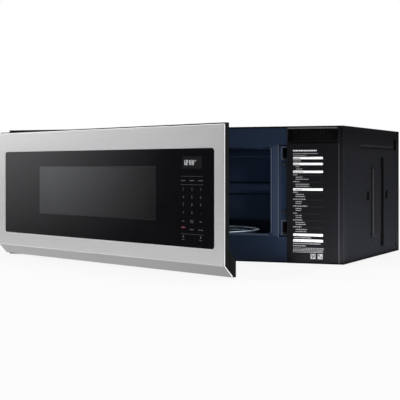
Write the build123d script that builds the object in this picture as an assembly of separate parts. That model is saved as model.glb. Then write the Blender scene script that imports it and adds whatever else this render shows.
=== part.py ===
from build123d import *
import math
import os

# Over-the-range microwave oven with a slim bottom-lip door, standing open.
# X runs to the right and Y into the wall. Z is counted up from the underside here, and the
# finished pieces are moved down at the end so that the origin is the centre of the rear face.
# All sizes are in millimetres.

# ------------------------------------------------------------------ case
BODY_W = 756.0
BODY_H = 269.0
BODY_D = 440.0
SHEET = 1.0  # painted sheet of the case panels
FLANGE = 12.0  # return flange of the side panels
FRONT_FLANGE = 8.0  # the part of that flange seen beside the door
FREE = 0.3  # clearance beside a piece that moves
RUNNING = 0.05  # radial clearance of a shaft in its bearing

SIDE = BODY_W / 2
FRONT = -BODY_D
CEILING = BODY_H - SHEET  # underside of the top panel
WALL_IN = -SHEET  # inner face of the rear panel
DECK = 2 * SHEET  # upper face of the base plate, which lies on the side panels' flanges

# ------------------------------------------------------------------ pressed forms of the sides
EMBOSS = 1.4  # height of the pressed forms
EMBOSS_CORNER = 9.0
CREASE = 0.6  # depth of the flute and the crease
CREASE_W = 2.5
CREASE_Y0, CREASE_Y1 = -323.0, -60.0
CREASE_Z = BODY_H - 39.0
RAISED_Y0, RAISED_Y1 = -235.6, -162.0
RAISED_Z0, RAISED_Z1 = 43.0, BODY_H - 81.5
GROOVE_Y0, GROOVE_Y1 = -158.0, -136.0
GROOVE_Z0, GROOVE_Z1 = 20.0, BODY_H - 60.0
DIMPLE_R = 8.5
DIMPLES = ((-262.5, 129.0), (-111.0, 129.0))
TOOL_HOLES = ((-202.7, 25.5), (-147.0, 14.0))
TOOL_HOLE_R = 3.0
FLUTE_AHEAD = 11.0  # shallow upright flute behind the front corner
TOP_NOTCH = (-42.0, -30.0, BODY_H - 43.0, BODY_H - 19.0)
BOTTOM_NOTCH = (-34.0, -26.0, 14.0, 40.0)

# ------------------------------------------------------------------ oven cavity
MOUTH_TO_SIDE = 151.0  # from the mouth's right edge to the case's right side
MOUTH_TO_LEFT = 85.0
MOUTH_W = BODY_W - MOUTH_TO_SIDE - MOUTH_TO_LEFT
MOUTH_Z0 = 57.0
MOUTH_Z1 = BODY_H - 41.0
MOUTH_CORNER = 6.0
MOUTH_ROLL = 5.0  # rolled edge round the mouth
FLOOR_Z = 30.0
CAVITY_D = 344.0
LINER = 1.0
TRACK_R = 104.0  # raised middle of the floor, which keeps the rollers on their track
TRACK_RISE = 1.0
MOUTH_X1 = SIDE - MOUTH_TO_SIDE
MOUTH_X0 = MOUTH_X1 - MOUTH_W
CAVITY_MID_X = (MOUTH_X0 + MOUTH_X1) / 2
CAVITY_Y0 = FRONT + SHEET + MOUTH_ROLL + LINER
CAVITY_Y1 = FRONT + CAVITY_D
CAVITY_MID_Y = (CAVITY_Y0 + CAVITY_Y1) / 2
BAND_Z0 = 127.0  # raised band along the cavity's back wall
BAND_Z1 = 151.0
BAND_RISE = 3.0
BAND_INSET = 22.0
BAND_CORNER = 3.0
LAMP_Y, LAMP_Z, LAMP_R = -385.0, MOUTH_Z1 - 38.0, 9.0
LAMP_W, LAMP_H, LAMP_T = 32.0, 26.0, 14.0
LAMP_FREE = 0.2  # round the lamp's lens

# ------------------------------------------------------------------ turntable
ROLLER_D = 14.0
ROLLER_W = 8.0
ROLLER_COUNT = 3
RING_R = 108.0  # centre line of the roller ring's hoop
RING_BAR = 6.0
TRAY_R = 162.0
TRAY_T = 4.5
TRAY_H = 9.1
TRAY_SLOPE = 14.0  # width of the tray's rising border
COUPLER_R = 15.0
COUPLER_LOBE_R = 5.0
COUPLER_WALL = 4.0
COUPLER_CAP = 2.3  # what the coupler leaves above the shaft
HUB_FIT = 0.6  # room round the coupler inside the tray's hub
SHAFT_R = 3.5
HUB_DROP = 5.0  # how far the tray's hub reaches down round the coupler
HUB_WALL = 6.0
GUIDE_RING_R = 26.0
AXLE_STUB_R = 2.0
MOTOR_CAN_R = 24.0
MOTOR_CAN_H = 16.0
MOTOR_EAR = 9.0
MOTOR_FLOOR = 2.0
HUB_Z = FLOOR_Z + TRACK_RISE  # top of the floor's raised middle
ROLLER_Z = FLOOR_Z + FREE + ROLLER_D / 2
TRAY_Z = ROLLER_Z + ROLLER_D / 2 + FREE
ROLLER_R0 = RING_R + RING_BAR / 2 + 2 * FREE  # inner face of a roller, from the middle

# ------------------------------------------------------------------ front of the case
PANEL_W = 107.0  # black cover of the control bay
PANEL_PROUD = 1.0
PANEL_T = 2.0
PANEL_X1 = SIDE - FRONT_FLANGE
PANEL_X0 = PANEL_X1 - PANEL_W
AIR_Z1 = BODY_H - 5.0  # air inlet recess above the cover
AIR_Z0 = AIR_Z1 - 25.0
AIR_DEPTH = 15.0
LATCH_X0 = SIDE - 133.4  # sunk strip of the face plate that holds the latch slots
LATCH_Z0 = 49.7
LATCH_Z1 = MOUTH_Z1 + 5.5
LATCH_DEPTH = 4.0
LATCH_TUCK = 7.0  # how far that strip runs behind the cover
SLOT_X0 = SIDE - 126.7
SLOT_W = 11.5
LOW_SLOT_H, HIGH_SLOT_H = 26.0, 23.0
LOW_SLOT_Z = LATCH_Z0 + 5.3
HIGH_SLOT_Z = LATCH_Z1 - 6.9 - HIGH_SLOT_H
SLOTS_Z = ((LOW_SLOT_Z, LOW_SLOT_Z + LOW_SLOT_H), (HIGH_SLOT_Z, HIGH_SLOT_Z + HIGH_SLOT_H))
VANE_COUNT = 12
VANE_PITCH = 7.6
VANE_SLOT = 4.2
VANE_INSET = 8.0
VANE_MARGIN = 4.0
RECESS_CORNER = 8.0
RECESS_EDGE = 1.5
RIB_Z0 = 6.0  # stiffening rib of the cover's right edge
RIB_D = 8.0
CATCH_D = 30.0  # depth of the catch board behind the slots
CATCH_WALL = 3.0
SWITCH_W, SWITCH_D, SWITCH_H = 14.0, 20.0, 10.0
SCREW_R = 1.8
SCREW_HEAD_R = 4.0
SCREW_HEAD_H = 2.2
SCREW_LENGTH = 8.0
SCREW_ROUND = 1.4
CATCH_SCREWS = ((SLOT_X0 + 4.7, HIGH_SLOT_Z - 9.6), (SLOT_X0 + 5.2, LOW_SLOT_Z + 45.0))

# ------------------------------------------------------------------ door
DOOR_OVER = 1.5  # the door passes the case by this much at each side
DOOR_W = BODY_W + 2 * DOOR_OVER
DOOR_T = 32.0  # front of the closed door to the face plate
DOOR_TOP = BODY_H - 8.0
BACKING_RISE = 2.2  # the black backing stands this far above the steel
DOOR_REST = 27.8  # how far the door stands open, degrees
STEEL = 1.0
RETURN = 2.5  # depth of the steel front's turned edge
SLAB = 12.1  # thickness of the door at its edges
BEVEL_Z = 22.5  # the steel front turns back here towards the lip
LIP_Z = 3.4
LIP_DEPTH = 18.0
GLASS_X0 = 27.0  # the glass, from the door's left edge
GLASS_X1 = DOOR_W - 25.3
GLASS_Z0 = 49.5
GLASS_Z1 = DOOR_TOP - 40.0
GLASS_T = 4.0
GLASS_GAP = 0.3
GLASS_SINK = 0.4
GLASS_CORNER = 2.5
WINDOW_X0 = 167.6  # the window, from the door's left edge
WINDOW_X1 = DOOR_W - 191.8
WINDOW_Z0 = 93.5
WINDOW_Z1 = GLASS_Z1 - 30.8
WINDOW_CORNER = 4.0
SCREEN_T = 0.6  # the choke frame is thinned to this where it is perforated
CHOKE_LAP = 17.0  # how far the choke frame laps the mouth
CHOKE_D = 17.1
CHOKE_GROOVE = 13.0
PLATEAU = 11.1  # the choke frame's middle stands this far behind the slab
COVER_T = 1.5
COVER_W = 28.0
FOOT_INSET = 18.0  # foot of the cover that presses on the inner glass
FOOT_T = 2.0
INNER_GLASS_T = 2.0
CAP_W = 7.0
CAP_D = 28.0
CAP_TOP = 47.0
CAP_STEP = 0.5
CAP_SHOULDER = 18.0
CAP_SLOPE = 10.0
CAP_ROUND = 3.0
GRIP_T = 1.6
GRIP_TOP = 38.0
HINGE_INSET = 8.0  # pin to the case's left side
HINGE_AHEAD = 12.5  # pin to the face plate
PIN_R = 3.0
BRACKET_T = 2.5
LUG_R = 6.5
LUG_H = 14.0
HINGES_Z = (50.0, BODY_H - 17.0)  # underside of each hinge bracket's leaf
LEG_H, LEG_W, LEG_T = 30.0, 34.0, 2.0  # the bracket's screwed leg
PLATE_H, PLATE_W, PLATE_T = 30.0, 46.0, 2.0  # the plate on the door

DOOR_FRONT = FRONT - DOOR_T
DOOR_X0 = -DOOR_W / 2
DOOR_X1 = DOOR_W / 2
PIN_X = -SIDE + HINGE_INSET
PIN_Y = FRONT - HINGE_AHEAD
CHOKE_X0 = MOUTH_X0 - CHOKE_LAP
CHOKE_X1 = MOUTH_X1 + CHOKE_LAP
CHOKE_Z0 = MOUTH_Z0 - CHOKE_LAP
CHOKE_Z1 = MOUTH_Z1 + CHOKE_LAP

# ------------------------------------------------------------------ door catch
KEY_W = 5.0
KEY_BAR_T = 4.0
KEY_TRAVEL = 3.0
HOOK_H = 12.0
HOOK_REACH = 12.0  # how far the hooks pass behind the face plate
HOOK_LIFT = 4.5  # root of a hook above the bottom of its slot
NOSE = 3.0
SPRING_R = 2.7
SPRING_WIRE = 0.8
SPRING_H = 14.0
SPRING_FREE = 0.1
KEY_B0 = 6.0  # floor of the key's channel, behind the door's front
KEY_SIDE = 2.0  # extra room of the channel beside the spring
KEY_ABOVE = 6.0  # the bar's end above the upper hook
KEY_X = SLOT_X0 + SLOT_W / 2

# ------------------------------------------------------------------ door electronics
BAY_WALL = 1.0  # between the key's channel and the pocket behind the keys and the clock
KEY_ROOM = KEY_W / 2 + FREE + KEY_SIDE  # half the channel's width
BAY_X0 = KEY_X + KEY_ROOM + BAY_WALL - DOOR_X0  # the pocket, from the door's left edge
BAY_X1 = DOOR_W - 47.0
BAY_Z0 = 58.0
BAY_Z1 = GLASS_Z1 - 7.0
BAY_D = 5.6
CLOCK_X0 = BAY_X0 + 3.7
CLOCK_X1 = BAY_X1 - 12.0
CLOCK_Z1 = BAY_Z1 - 7.0
CLOCK_Z0 = CLOCK_Z1 - 21.0
BOARD_T = 1.6
BAY_MARGIN = 1.5
BOARD_CHIPS = ((8.0, 20.0, 18.0, 18.0), (34.0, 60.0, 26.0, 12.0))
CHIP_T = 1.6

# ------------------------------------------------------------------ ventilation
DUCT_W = 254.0
DUCT_D = 82.6
REAR_BAY_Y = (CAVITY_Y1 + LINER + WALL_IN) / 2  # middle of the bay behind the cavity
WHEEL_R = 34.0
WHEEL_L = 84.0
WHEEL_X = 77.0  # middle of each wheel from the middle of the case
WHEEL_Z = 92.0
BLADES = 20
BLADE_T = 1.2
BLADE_DEPTH = 8.0
RIM_T = 2.0  # end rims of a wheel
DISC_T = 2.0
WHEEL_HUB_L = 18.0
SCROLL_GAP = 3.5  # wheel to scroll at the cut-off
SCROLL_END = 2.0  # wheel to the scroll's end plates
CUTOFF_ANGLE = 60.0
MOTOR_R = 33.0
MOTOR_L = 56.0
BOSS_L = 6.0
CRADLE_W = 28.0
CRADLE_H = 52.0
CRADLE_AHEAD = 0.7  # share of the motor's radius at which the cradle starts
AXLE_R = 4.0
PLENUM_Z0 = 168.0
FLAP_Z = CEILING - 18.0
FLAP_T = 1.0
FLAP_GAP = 0.8
FLAP_PIN_R = 1.5
FLAP_BARREL = 0.7  # wall of the flap's barrel round its pin
LEDGE_D, LEDGE_T = 3.0, 1.5

# ------------------------------------------------------------------ underside
FILTER_TO_MIDDLE = 30.0
FILTER_W = SIDE - 58.0 - FILTER_TO_MIDDLE
FILTER_D = 140.0
FILTER_T = 8.0
FILTER_RIM = 8.0
FILTER_GAP = 1.0
FILTER_X = FILTER_TO_MIDDLE + FILTER_W / 2
FILTER_Y1 = -121.0
FILTER_SLATS = 14
FILTER_SUNK = 2.5
SLAT_GAP = 6.0
SLAT_END = 3.0
TAB_X, TAB_W, TAB_T, TAB_LAP = 70.0, 24.0, 1.5, 5.0  # rear tabs that lie on the base plate
PULL_W, PULL_D, PULL_BAR = 30.0, 12.0, 3.0  # pull ring at a filter's front
LENS_W = 90.0
LENS_D = 34.0
LENS_X = SIDE - 133.0
LENS_Y = -395.0
LENS_T = 3.0
LENS_CORNER = 6.0
LENS_LAP = 4.0
LENS_FREE = 0.2
SINK_W, SINK_D, SINK_T = 76.0, 26.0, 3.0  # heat sink of a cooktop lamp
SINK_FINS = 7
SINK_FIN_T, SINK_FIN_H = 2.0, 8.0
AIR_SLOT_COUNT = 6
AIR_SLOT_X0 = SIDE - 40.0
AIR_SLOT_PITCH = 4.6
AIR_SLOT_W = 2.4
AIR_SLOT_Y0 = -250.0
AIR_SLOT_Y1 = -210.0

# ------------------------------------------------------------------ fixings on the case
BOLT_X = 305.0
BOLT_Y = -330.0
BOLT_HOLE_R = 3.2
NUT_AF = 14.0
NUT_H = 12.0
CORD_X = SIDE - 48.0
CORD_Y = -60.0
CORD_R = 4.5
BUSH_R = 11.0
BUSH_RIM = 3.0
BUSH_RISE = 1.5
BUSH_DROP = 9.0
BUSH_BARB = 1.5
HOOK_SLOT_X = 270.0
HOOK_SLOT_W = 60.0
HOOK_SLOT_H = 10.0
HOOK_SLOT_Z = 14.0

# ------------------------------------------------------------------ microwave source
FEED_Y0, FEED_Y1 = -265.0, -205.0  # window between the waveguide and the cavity
FEED_Z0, FEED_Z1 = 78.0, 122.0
GUIDE_MARGIN = 10.0
GUIDE_T = 1.0
GUIDE_DEPTH = 30.0
GUIDE_TOP = MOUTH_Z1 - 32.0
MICA_T = 0.6
MICA_LAP = 9.0
TUBE_Z = 160.0
TUBE_X0 = MOUTH_X1 + LINER + GUIDE_DEPTH
TUBE_Y = (FEED_Y0 + FEED_Y1) / 2
YOKE_W = 92.0
YOKE_H = 76.0
YOKE_L = 58.0
YOKE_T = 1.6
FIN_COUNT = 4
ANODE_R = 20.0
ANTENNA_R = 8.0
ANTENNA_L = 18.0
ANTENNA_FREE = 2.0
MAGNET_R = 27.0
MAGNET_T = 11.0
FILTER_BOX_L = 40.0
FILTER_BOX_W = 56.0
CORE_W, CORE_D, CORE_H = 96.0, 58.0, 80.0
CORE_X, CORE_Y = SIDE - 60.0, -330.0
CORE_FOOT = 4.0
CORE_TOE = 6.0
WINDING_PROUD = 15.0
WINDING_CORNER = 12.0
CAN_W, CAN_D, CAN_H = 56.0, 36.0, 92.0
CAN_X, CAN_Y = SIDE - 78.0, -52.0
TERMINAL_W, TERMINAL_H = 8.0, 9.0
TERMINAL_X = 12.0

# ------------------------------------------------------------------ cooling fan and mains filter
SHROUD_Y = -122.0
SHROUD_T = 2.0
SHROUD_HALF = 57.0
SHROUD_GAP = 1.5
SHROUD_WALL = 2.5
FAN_X = SIDE - 60.0
FAN_Z = 160.0
FAN_R = 48.0
FAN_BLADES = 5
FAN_HUB_R = 11.0
FAN_ROOT = 13.0  # width of a fan blade at the hub
FAN_TIP = 26.0
FAN_BLADE_T = 1.4
FAN_PITCH = 28.0
FAN_DEPTH = 14.0
FAN_SHAFT_R = 2.0
FAN_MOTOR_W, FAN_MOTOR_H, FAN_MOTOR_L = 62.0, 46.0, 24.0
FAN_MOTOR_GAP = 12.0
STRAP_T = 2.0
STRAP_W = 10.0
STRAP_Z = 12.0
STRAP_REACH = 6.0  # past the fan's tips
BOARD_X = SIDE - SHEET - 6.0
FILTER_BOARD = (-410.0, -330.0, 110.0, 200.0)
BOARD_POST_R = 3.0
BOARD_INSET = 6.0
COIL_R, COIL_L = 12.0, 14.0
COIL_AT = (28.0, 30.0)  # from the board's lower front corner
BOARD_BLOCKS = ((50.0, 18.0, 22.0, 24.0, 12.0), (14.0, 68.0, 46.0, 12.0, 10.0))


# ------------------------------------------------------------------ drawing aids
def block(x0, x1, y0, y1, z0, z1):
    """Plain box between its six planes."""
    middle = Pos((x0 + x1) / 2, (y0 + y1) / 2, (z0 + z1) / 2)
    return middle * Box(x1 - x0, y1 - y0, z1 - z0)


def outline(width, height, radius):
    if radius:
        return RectangleRounded(width, height, radius)
    return Rectangle(width, height)


def wall(x0, x1, z0, z1, y0, y1, radius=0.0):
    """Plate that faces the front, with rounded corners seen from there."""
    face = Pos((x0 + x1) / 2, (z0 + z1) / 2) * outline(x1 - x0, z1 - z0, radius)
    return extrude(Plane.XZ.offset(-y1) * face, y1 - y0)


def deck(x0, x1, y0, y1, z0, z1, radius=0.0):
    """Plate that lies flat, with rounded corners seen from above."""
    face = Pos((x0 + x1) / 2, (y0 + y1) / 2) * outline(x1 - x0, y1 - y0, radius)
    return extrude(Plane.XY.offset(z0) * face, z1 - z0)


def cheek(y0, y1, z0, z1, x0, x1, radius=0.0):
    """Plate that faces sideways, with rounded corners seen from there."""
    face = Pos((y0 + y1) / 2, (z0 + z1) / 2) * outline(y1 - y0, z1 - z0, radius)
    return extrude(Plane.YZ.offset(x0) * face, x1 - x0)


def post(x, y, z0, z1, radius):
    """Upright cylinder."""
    return extrude(Plane.XY.offset(z0) * (Pos(x, y) * Circle(radius)), z1 - z0)


def rod_x(y, z, x0, x1, radius):
    """Cylinder along X."""
    return extrude(Plane.YZ.offset(x0) * (Pos(y, z) * Circle(radius)), x1 - x0)


def rod_y(x, z, y0, y1, radius):
    """Cylinder along Y."""
    return extrude(Plane.XZ.offset(-y1) * (Pos(x, z) * Circle(radius)), y1 - y0)


def strip(points, x0, x1):
    """Solid between x0 and x1 with the section given by (y, z) corners."""
    face = Plane.YZ.offset(x0) * make_face(Polyline(*points, close=True))
    return extrude(face, x1 - x0)


def both_sides(piece):
    """The piece and its mirror image about the middle of the case."""
    return piece, mirror(piece, Plane.YZ)


def group(*pieces):
    """Separate solids that share one node."""
    return Compound([piece.solid() for piece in pieces])


# ------------------------------------------------------------------ case panels


def side_panel():
    """Right side: a shallow pan with flanges all round and pressed stiffening forms."""
    inner = SIDE - FLANGE
    skin = SIDE - SHEET
    pan = block(inner, SIDE, FRONT, WALL_IN, 0, CEILING)
    pan -= block(inner, skin, FRONT + SHEET, WALL_IN - SHEET, SHEET, CEILING - SHEET)
    pan -= block(inner, SIDE - FRONT_FLANGE, FRONT, FRONT + SHEET, 0, CEILING)
    front_corner = pan.edges().filter_by(Axis.Z).group_by(Axis.X)[-1].sort_by(Axis.Y)[0]
    pan = fillet(front_corner, SHEET)
    raised = cheek(RAISED_Y0, RAISED_Y1, RAISED_Z0, RAISED_Z1, skin, SIDE + EMBOSS, EMBOSS_CORNER)
    raised = chamfer(raised.faces().sort_by(Axis.X)[-1].edges(), EMBOSS)
    hollow = cheek(
        RAISED_Y0 + SHEET, RAISED_Y1 - SHEET, RAISED_Z0 + SHEET, RAISED_Z1 - SHEET,
        skin, skin + EMBOSS, EMBOSS_CORNER - SHEET,
    )
    pan = pan + raised - hollow
    corner = EMBOSS_CORNER - SHEET
    groove = cheek(GROOVE_Y0, GROOVE_Y1, GROOVE_Z0, GROOVE_Z1, skin - EMBOSS, SIDE, corner)
    pressed = cheek(
        GROOVE_Y0 + SHEET, GROOVE_Y1 - SHEET, GROOVE_Z0 + SHEET, GROOVE_Z1 - SHEET,
        SIDE - EMBOSS, SIDE, corner - SHEET,
    )
    pan = pan + groove - pressed
    for y, z in DIMPLES:
        pan += rod_x(y, z, skin - EMBOSS, SIDE, DIMPLE_R)
        pan -= rod_x(y, z, SIDE - EMBOSS, SIDE, DIMPLE_R - SHEET)
        pan -= rod_x(y, z, inner, SIDE, TOOL_HOLE_R)
    for y, z in TOOL_HOLES:
        pan -= rod_x(y, z, inner, SIDE, TOOL_HOLE_R)
    for y0, y1, z0, z1 in (TOP_NOTCH, BOTTOM_NOTCH):
        pan -= cheek(y0, y1, z0, z1, inner + SHEET, SIDE)
    flute_y = FRONT + FLUTE_AHEAD
    pan -= block(SIDE - CREASE, SIDE, flute_y, flute_y + CREASE_W, SHEET, CEILING)
    return pan - block(SIDE - CREASE, SIDE, CREASE_Y0, CREASE_Y1, CREASE_Z - CREASE_W, CREASE_Z)


def top_panel():
    """Lid of the case, with the duct outlet, the cord's hole and the two bolt holes."""
    lid = deck(-SIDE, SIDE, FRONT, 0, CEILING, BODY_H)
    y0, y1 = REAR_BAY_Y - DUCT_D / 2, REAR_BAY_Y + DUCT_D / 2
    lid -= deck(-DUCT_W / 2, DUCT_W / 2, y0, y1, CEILING, BODY_H, 3.0)
    lid -= post(CORD_X, CORD_Y, CEILING, BODY_H, BUSH_R)
    for x in (-BOLT_X, BOLT_X):
        lid -= post(x, BOLT_Y, CEILING, BODY_H, BOLT_HOLE_R)
    return lid


def rear_panel():
    """Flat back with two slots that drop over the tabs of a wall plate."""
    back = wall(-SIDE, SIDE, 0, CEILING, WALL_IN, 0)
    for x in (-HOOK_SLOT_X, HOOK_SLOT_X):
        left = x - HOOK_SLOT_W / 2
        slot = wall(
            left, left + HOOK_SLOT_W, HOOK_SLOT_Z, HOOK_SLOT_Z + HOOK_SLOT_H,
            WALL_IN, 0, 2.0,
        )
        back -= slot
    return back


def filter_hole(x):
    """Opening of the base plate round one grease filter: x0, x1, y0, y1."""
    half = FILTER_W / 2 + FILTER_GAP
    return x - half, x + half, FILTER_Y1 - FILTER_D - FILTER_GAP, FILTER_Y1 + FILTER_GAP


def base_plate():
    """Underside of the case, with the filter openings, lamp windows and air slots."""
    inner = SIDE - SHEET
    plate = deck(-inner, inner, FRONT + SHEET, WALL_IN - SHEET, SHEET, DECK)
    for x in (-FILTER_X, FILTER_X):
        x0, x1, y0, y1 = filter_hole(x)
        plate -= deck(x0, x1, y0, y1, 0, DECK, 4.0)
    for x in (-LENS_X, LENS_X):
        plate -= deck(
            x - LENS_W / 2, x + LENS_W / 2, LENS_Y - LENS_D / 2, LENS_Y + LENS_D / 2,
            0, DECK, LENS_CORNER,
        )
    for column in range(AIR_SLOT_COUNT):
        x0 = AIR_SLOT_X0 + column * AIR_SLOT_PITCH
        plate -= deck(x0, x0 + AIR_SLOT_W, AIR_SLOT_Y0, AIR_SLOT_Y1, 0, DECK)
    return plate


# ------------------------------------------------------------------ front plate and cavity
def face_plate():
    """Enamelled front of the oven: rolled mouth, sunk catch strip with its two slots."""
    back = FRONT + SHEET
    plate = wall(-PANEL_X1, PANEL_X0, 0, CEILING, FRONT, back)
    roll = wall(
        MOUTH_X0 - MOUTH_ROLL, MOUTH_X1 + MOUTH_ROLL,
        MOUTH_Z0 - MOUTH_ROLL, MOUTH_Z1 + MOUTH_ROLL,
        FRONT, back + MOUTH_ROLL, MOUTH_CORNER + MOUTH_ROLL,
    )
    plate += roll
    plate -= wall(
        MOUTH_X0, MOUTH_X1, MOUTH_Z0, MOUTH_Z1, FRONT, back + MOUTH_ROLL, MOUTH_CORNER
    )
    rim = plate.edges().filter_by_position(Axis.Y, FRONT - FREE, FRONT + FREE)
    rim = rim.filter_by_position(Axis.X, MOUTH_X0 - 1, MOUTH_X1 + 1)
    rim = rim.filter_by_position(Axis.Z, MOUTH_Z0 - 1, MOUTH_Z1 + 1)
    plate = fillet(rim, MOUTH_ROLL - SHEET)
    strip_floor = FRONT + LATCH_DEPTH
    plate += wall(
        LATCH_X0 - SHEET, PANEL_X0 + LATCH_TUCK, LATCH_Z0 - SHEET, LATCH_Z1 + SHEET,
        back, strip_floor + SHEET,
    )
    plate -= wall(
        LATCH_X0, PANEL_X0 + LATCH_TUCK, LATCH_Z0, LATCH_Z1, FRONT, strip_floor
    )
    for z0, z1 in SLOTS_Z:
        plate -= wall(SLOT_X0, SLOT_X0 + SLOT_W, z0, z1, strip_floor, strip_floor + SHEET)
    for x, z in CATCH_SCREWS:
        plate -= rod_y(x, z, strip_floor, strip_floor + SHEET, SCREW_R)
    return plate


def cavity_liner():
    """Enamelled wrap of the oven chamber: left wall, roof and right wall from one sheet."""
    front = FRONT + SHEET + MOUTH_ROLL
    wrap = block(
        MOUTH_X0 - LINER, MOUTH_X1 + LINER, front, CAVITY_Y1, FLOOR_Z - LINER, MOUTH_Z1 + LINER
    )
    wrap -= block(MOUTH_X0, MOUTH_X1, front, CAVITY_Y1, FLOOR_Z - LINER, MOUTH_Z1)
    wrap -= cheek(FEED_Y0, FEED_Y1, FEED_Z0, FEED_Z1, MOUTH_X1, MOUTH_X1 + LINER)
    return wrap - rod_x(LAMP_Y, LAMP_Z, MOUTH_X1, MOUTH_X1 + LINER, LAMP_R)


def cavity_back():
    """Enamelled rear wall of the chamber, with a pressed band across it."""
    back = wall(
        MOUTH_X0 - LINER, MOUTH_X1 + LINER, FLOOR_Z - LINER, MOUTH_Z1 + LINER,
        CAVITY_Y1, CAVITY_Y1 + LINER,
    )
    left, right = MOUTH_X0 + BAND_INSET, MOUTH_X1 - BAND_INSET
    band = wall(left, right, BAND_Z0, BAND_Z1, CAVITY_Y1 - BAND_RISE, CAVITY_Y1, BAND_CORNER)
    band = chamfer(band.faces().sort_by(Axis.Y)[0].edges(), BAND_RISE - LINER)
    hollow = wall(
        left + BAND_RISE, right - BAND_RISE, BAND_Z0 + BAND_RISE, BAND_Z1 - BAND_RISE,
        CAVITY_Y1 - BAND_RISE + LINER, CAVITY_Y1 + LINER,
    )
    return back + band - hollow


def cavity_floor():
    """Enamelled floor with its front lip up to the mouth and a raised middle in the roller track."""
    front = FRONT + SHEET + MOUTH_ROLL
    floor = block(MOUTH_X0, MOUTH_X1, front, CAVITY_Y1, FLOOR_Z - LINER, FLOOR_Z)
    floor += block(MOUTH_X0, MOUTH_X1, front, front + LINER, FLOOR_Z - LINER, MOUTH_Z0)
    floor += post(CAVITY_MID_X, CAVITY_MID_Y, FLOOR_Z, HUB_Z, TRACK_R)
    floor -= post(CAVITY_MID_X, CAVITY_MID_Y, FLOOR_Z - LINER, HUB_Z - LINER, TRACK_R - LINER)
    return floor - post(CAVITY_MID_X, CAVITY_MID_Y, HUB_Z - LINER, HUB_Z, 2 * SHAFT_R)


# ------------------------------------------------------------------ microwave source


def waveguide():
    """Sheet duct on the cavity's right wall that carries the field down to the feed window."""
    x0, x1 = MOUTH_X1 + LINER, TUBE_X0
    y0, y1 = FEED_Y0 - GUIDE_MARGIN, FEED_Y1 + GUIDE_MARGIN
    z0 = FEED_Z0 - GUIDE_MARGIN
    duct = block(x0, x1, y0, y1, z0, GUIDE_TOP)
    duct -= block(x0, x1 - GUIDE_T, y0 + GUIDE_T, y1 - GUIDE_T, z0 + GUIDE_T, GUIDE_TOP - GUIDE_T)
    duct -= rod_x(TUBE_Y, TUBE_Z, x1 - GUIDE_T, x1, ANTENNA_R + ANTENNA_FREE)
    return duct


def waveguide_cover():
    """Thin mica sheet over the feed window, inside the cavity."""
    return cheek(
        FEED_Y0 - MICA_LAP, FEED_Y1 + MICA_LAP, FEED_Z0 - MICA_LAP, FEED_Z1 + MICA_LAP,
        MOUTH_X1 - MICA_T, MOUTH_X1, 5.0,
    )


def magnetron():
    """Finned anode between two ring magnets in a steel yoke, antenna towards the waveguide."""
    x0, x1 = TUBE_X0, TUBE_X0 + YOKE_L
    y0, y1 = TUBE_Y - YOKE_W / 2, TUBE_Y + YOKE_W / 2
    z0, z1 = TUBE_Z - YOKE_H / 2, TUBE_Z + YOKE_H / 2
    tube = block(x0, x1, y0, y1, z0, z1)
    tube -= block(x0 + YOKE_T, x1 - YOKE_T, y0, y1, z0 + YOKE_T, z1 - YOKE_T)
    tube += rod_x(TUBE_Y, TUBE_Z, x0, x0 + MAGNET_T, MAGNET_R)
    tube += rod_x(TUBE_Y, TUBE_Z, x1 - MAGNET_T, x1, MAGNET_R)
    tube += rod_x(TUBE_Y, TUBE_Z, x0, x1, ANODE_R)
    pitch = (YOKE_L - 2 * MAGNET_T) / (FIN_COUNT + 1)
    for fin in range(FIN_COUNT):
        x = x0 + MAGNET_T + (fin + 1) * pitch
        tube += block(x, x + GUIDE_T, y0 + YOKE_T, y1 - YOKE_T, z0, z1)
    tube += rod_x(TUBE_Y, TUBE_Z, x0 - ANTENNA_L, x0, ANTENNA_R)
    half = FILTER_BOX_W / 2
    return tube + cheek(
        TUBE_Y - half, TUBE_Y + half, TUBE_Z - half, TUBE_Z + half, x1, x1 + FILTER_BOX_L, 3.0
    )


def transformer():
    """Laminated core with its two windings, standing on the base plate."""
    x0, y0 = CORE_X - CORE_W / 2, CORE_Y - CORE_D / 2
    x1, y1 = x0 + CORE_W, y0 + CORE_D
    core = block(x0, x1, y0, y1, DECK + CORE_FOOT, DECK + CORE_FOOT + CORE_H)
    core += block(x0 - CORE_TOE, x1 + CORE_TOE, y0, y1, DECK, DECK + CORE_FOOT)
    leg = CORE_W / 4
    z0 = DECK + CORE_FOOT + leg / 2
    return core + deck(
        x0 + leg / 2, x1 - leg / 2, y0 - WINDING_PROUD, y1 + WINDING_PROUD,
        z0, z0 + CORE_H - leg, WINDING_CORNER,
    )


def capacitor():
    """Oval oil-filled can with its two terminals."""
    can = deck(
        CAN_X - CAN_W / 2, CAN_X + CAN_W / 2, CAN_Y - CAN_D / 2, CAN_Y + CAN_D / 2,
        DECK, DECK + CAN_H, CAN_D / 2 - 0.5,
    )
    z0 = DECK + CAN_H
    for x in (CAN_X - TERMINAL_X, CAN_X + TERMINAL_X):
        can += block(
            x - TERMINAL_W / 2, x + TERMINAL_W / 2, CAN_Y - SHEET / 2, CAN_Y + SHEET / 2,
            z0, z0 + TERMINAL_H,
        )
    return can


def fan_shroud():
    """Moulded ring plate that directs the cooling fan over the magnetron."""
    y0, y1 = SHROUD_Y - FAN_DEPTH, SHROUD_Y + SHROUD_T
    plate = wall(
        FAN_X - SHROUD_HALF, SIDE - SHEET, FAN_Z - SHROUD_HALF, FAN_Z + SHROUD_HALF, SHROUD_Y, y1
    )
    bore = FAN_R + SHROUD_GAP
    plate += rod_y(FAN_X, FAN_Z, y0, SHROUD_Y, bore + SHROUD_WALL)
    return plate - rod_y(FAN_X, FAN_Z, y0, y1, bore)


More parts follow.
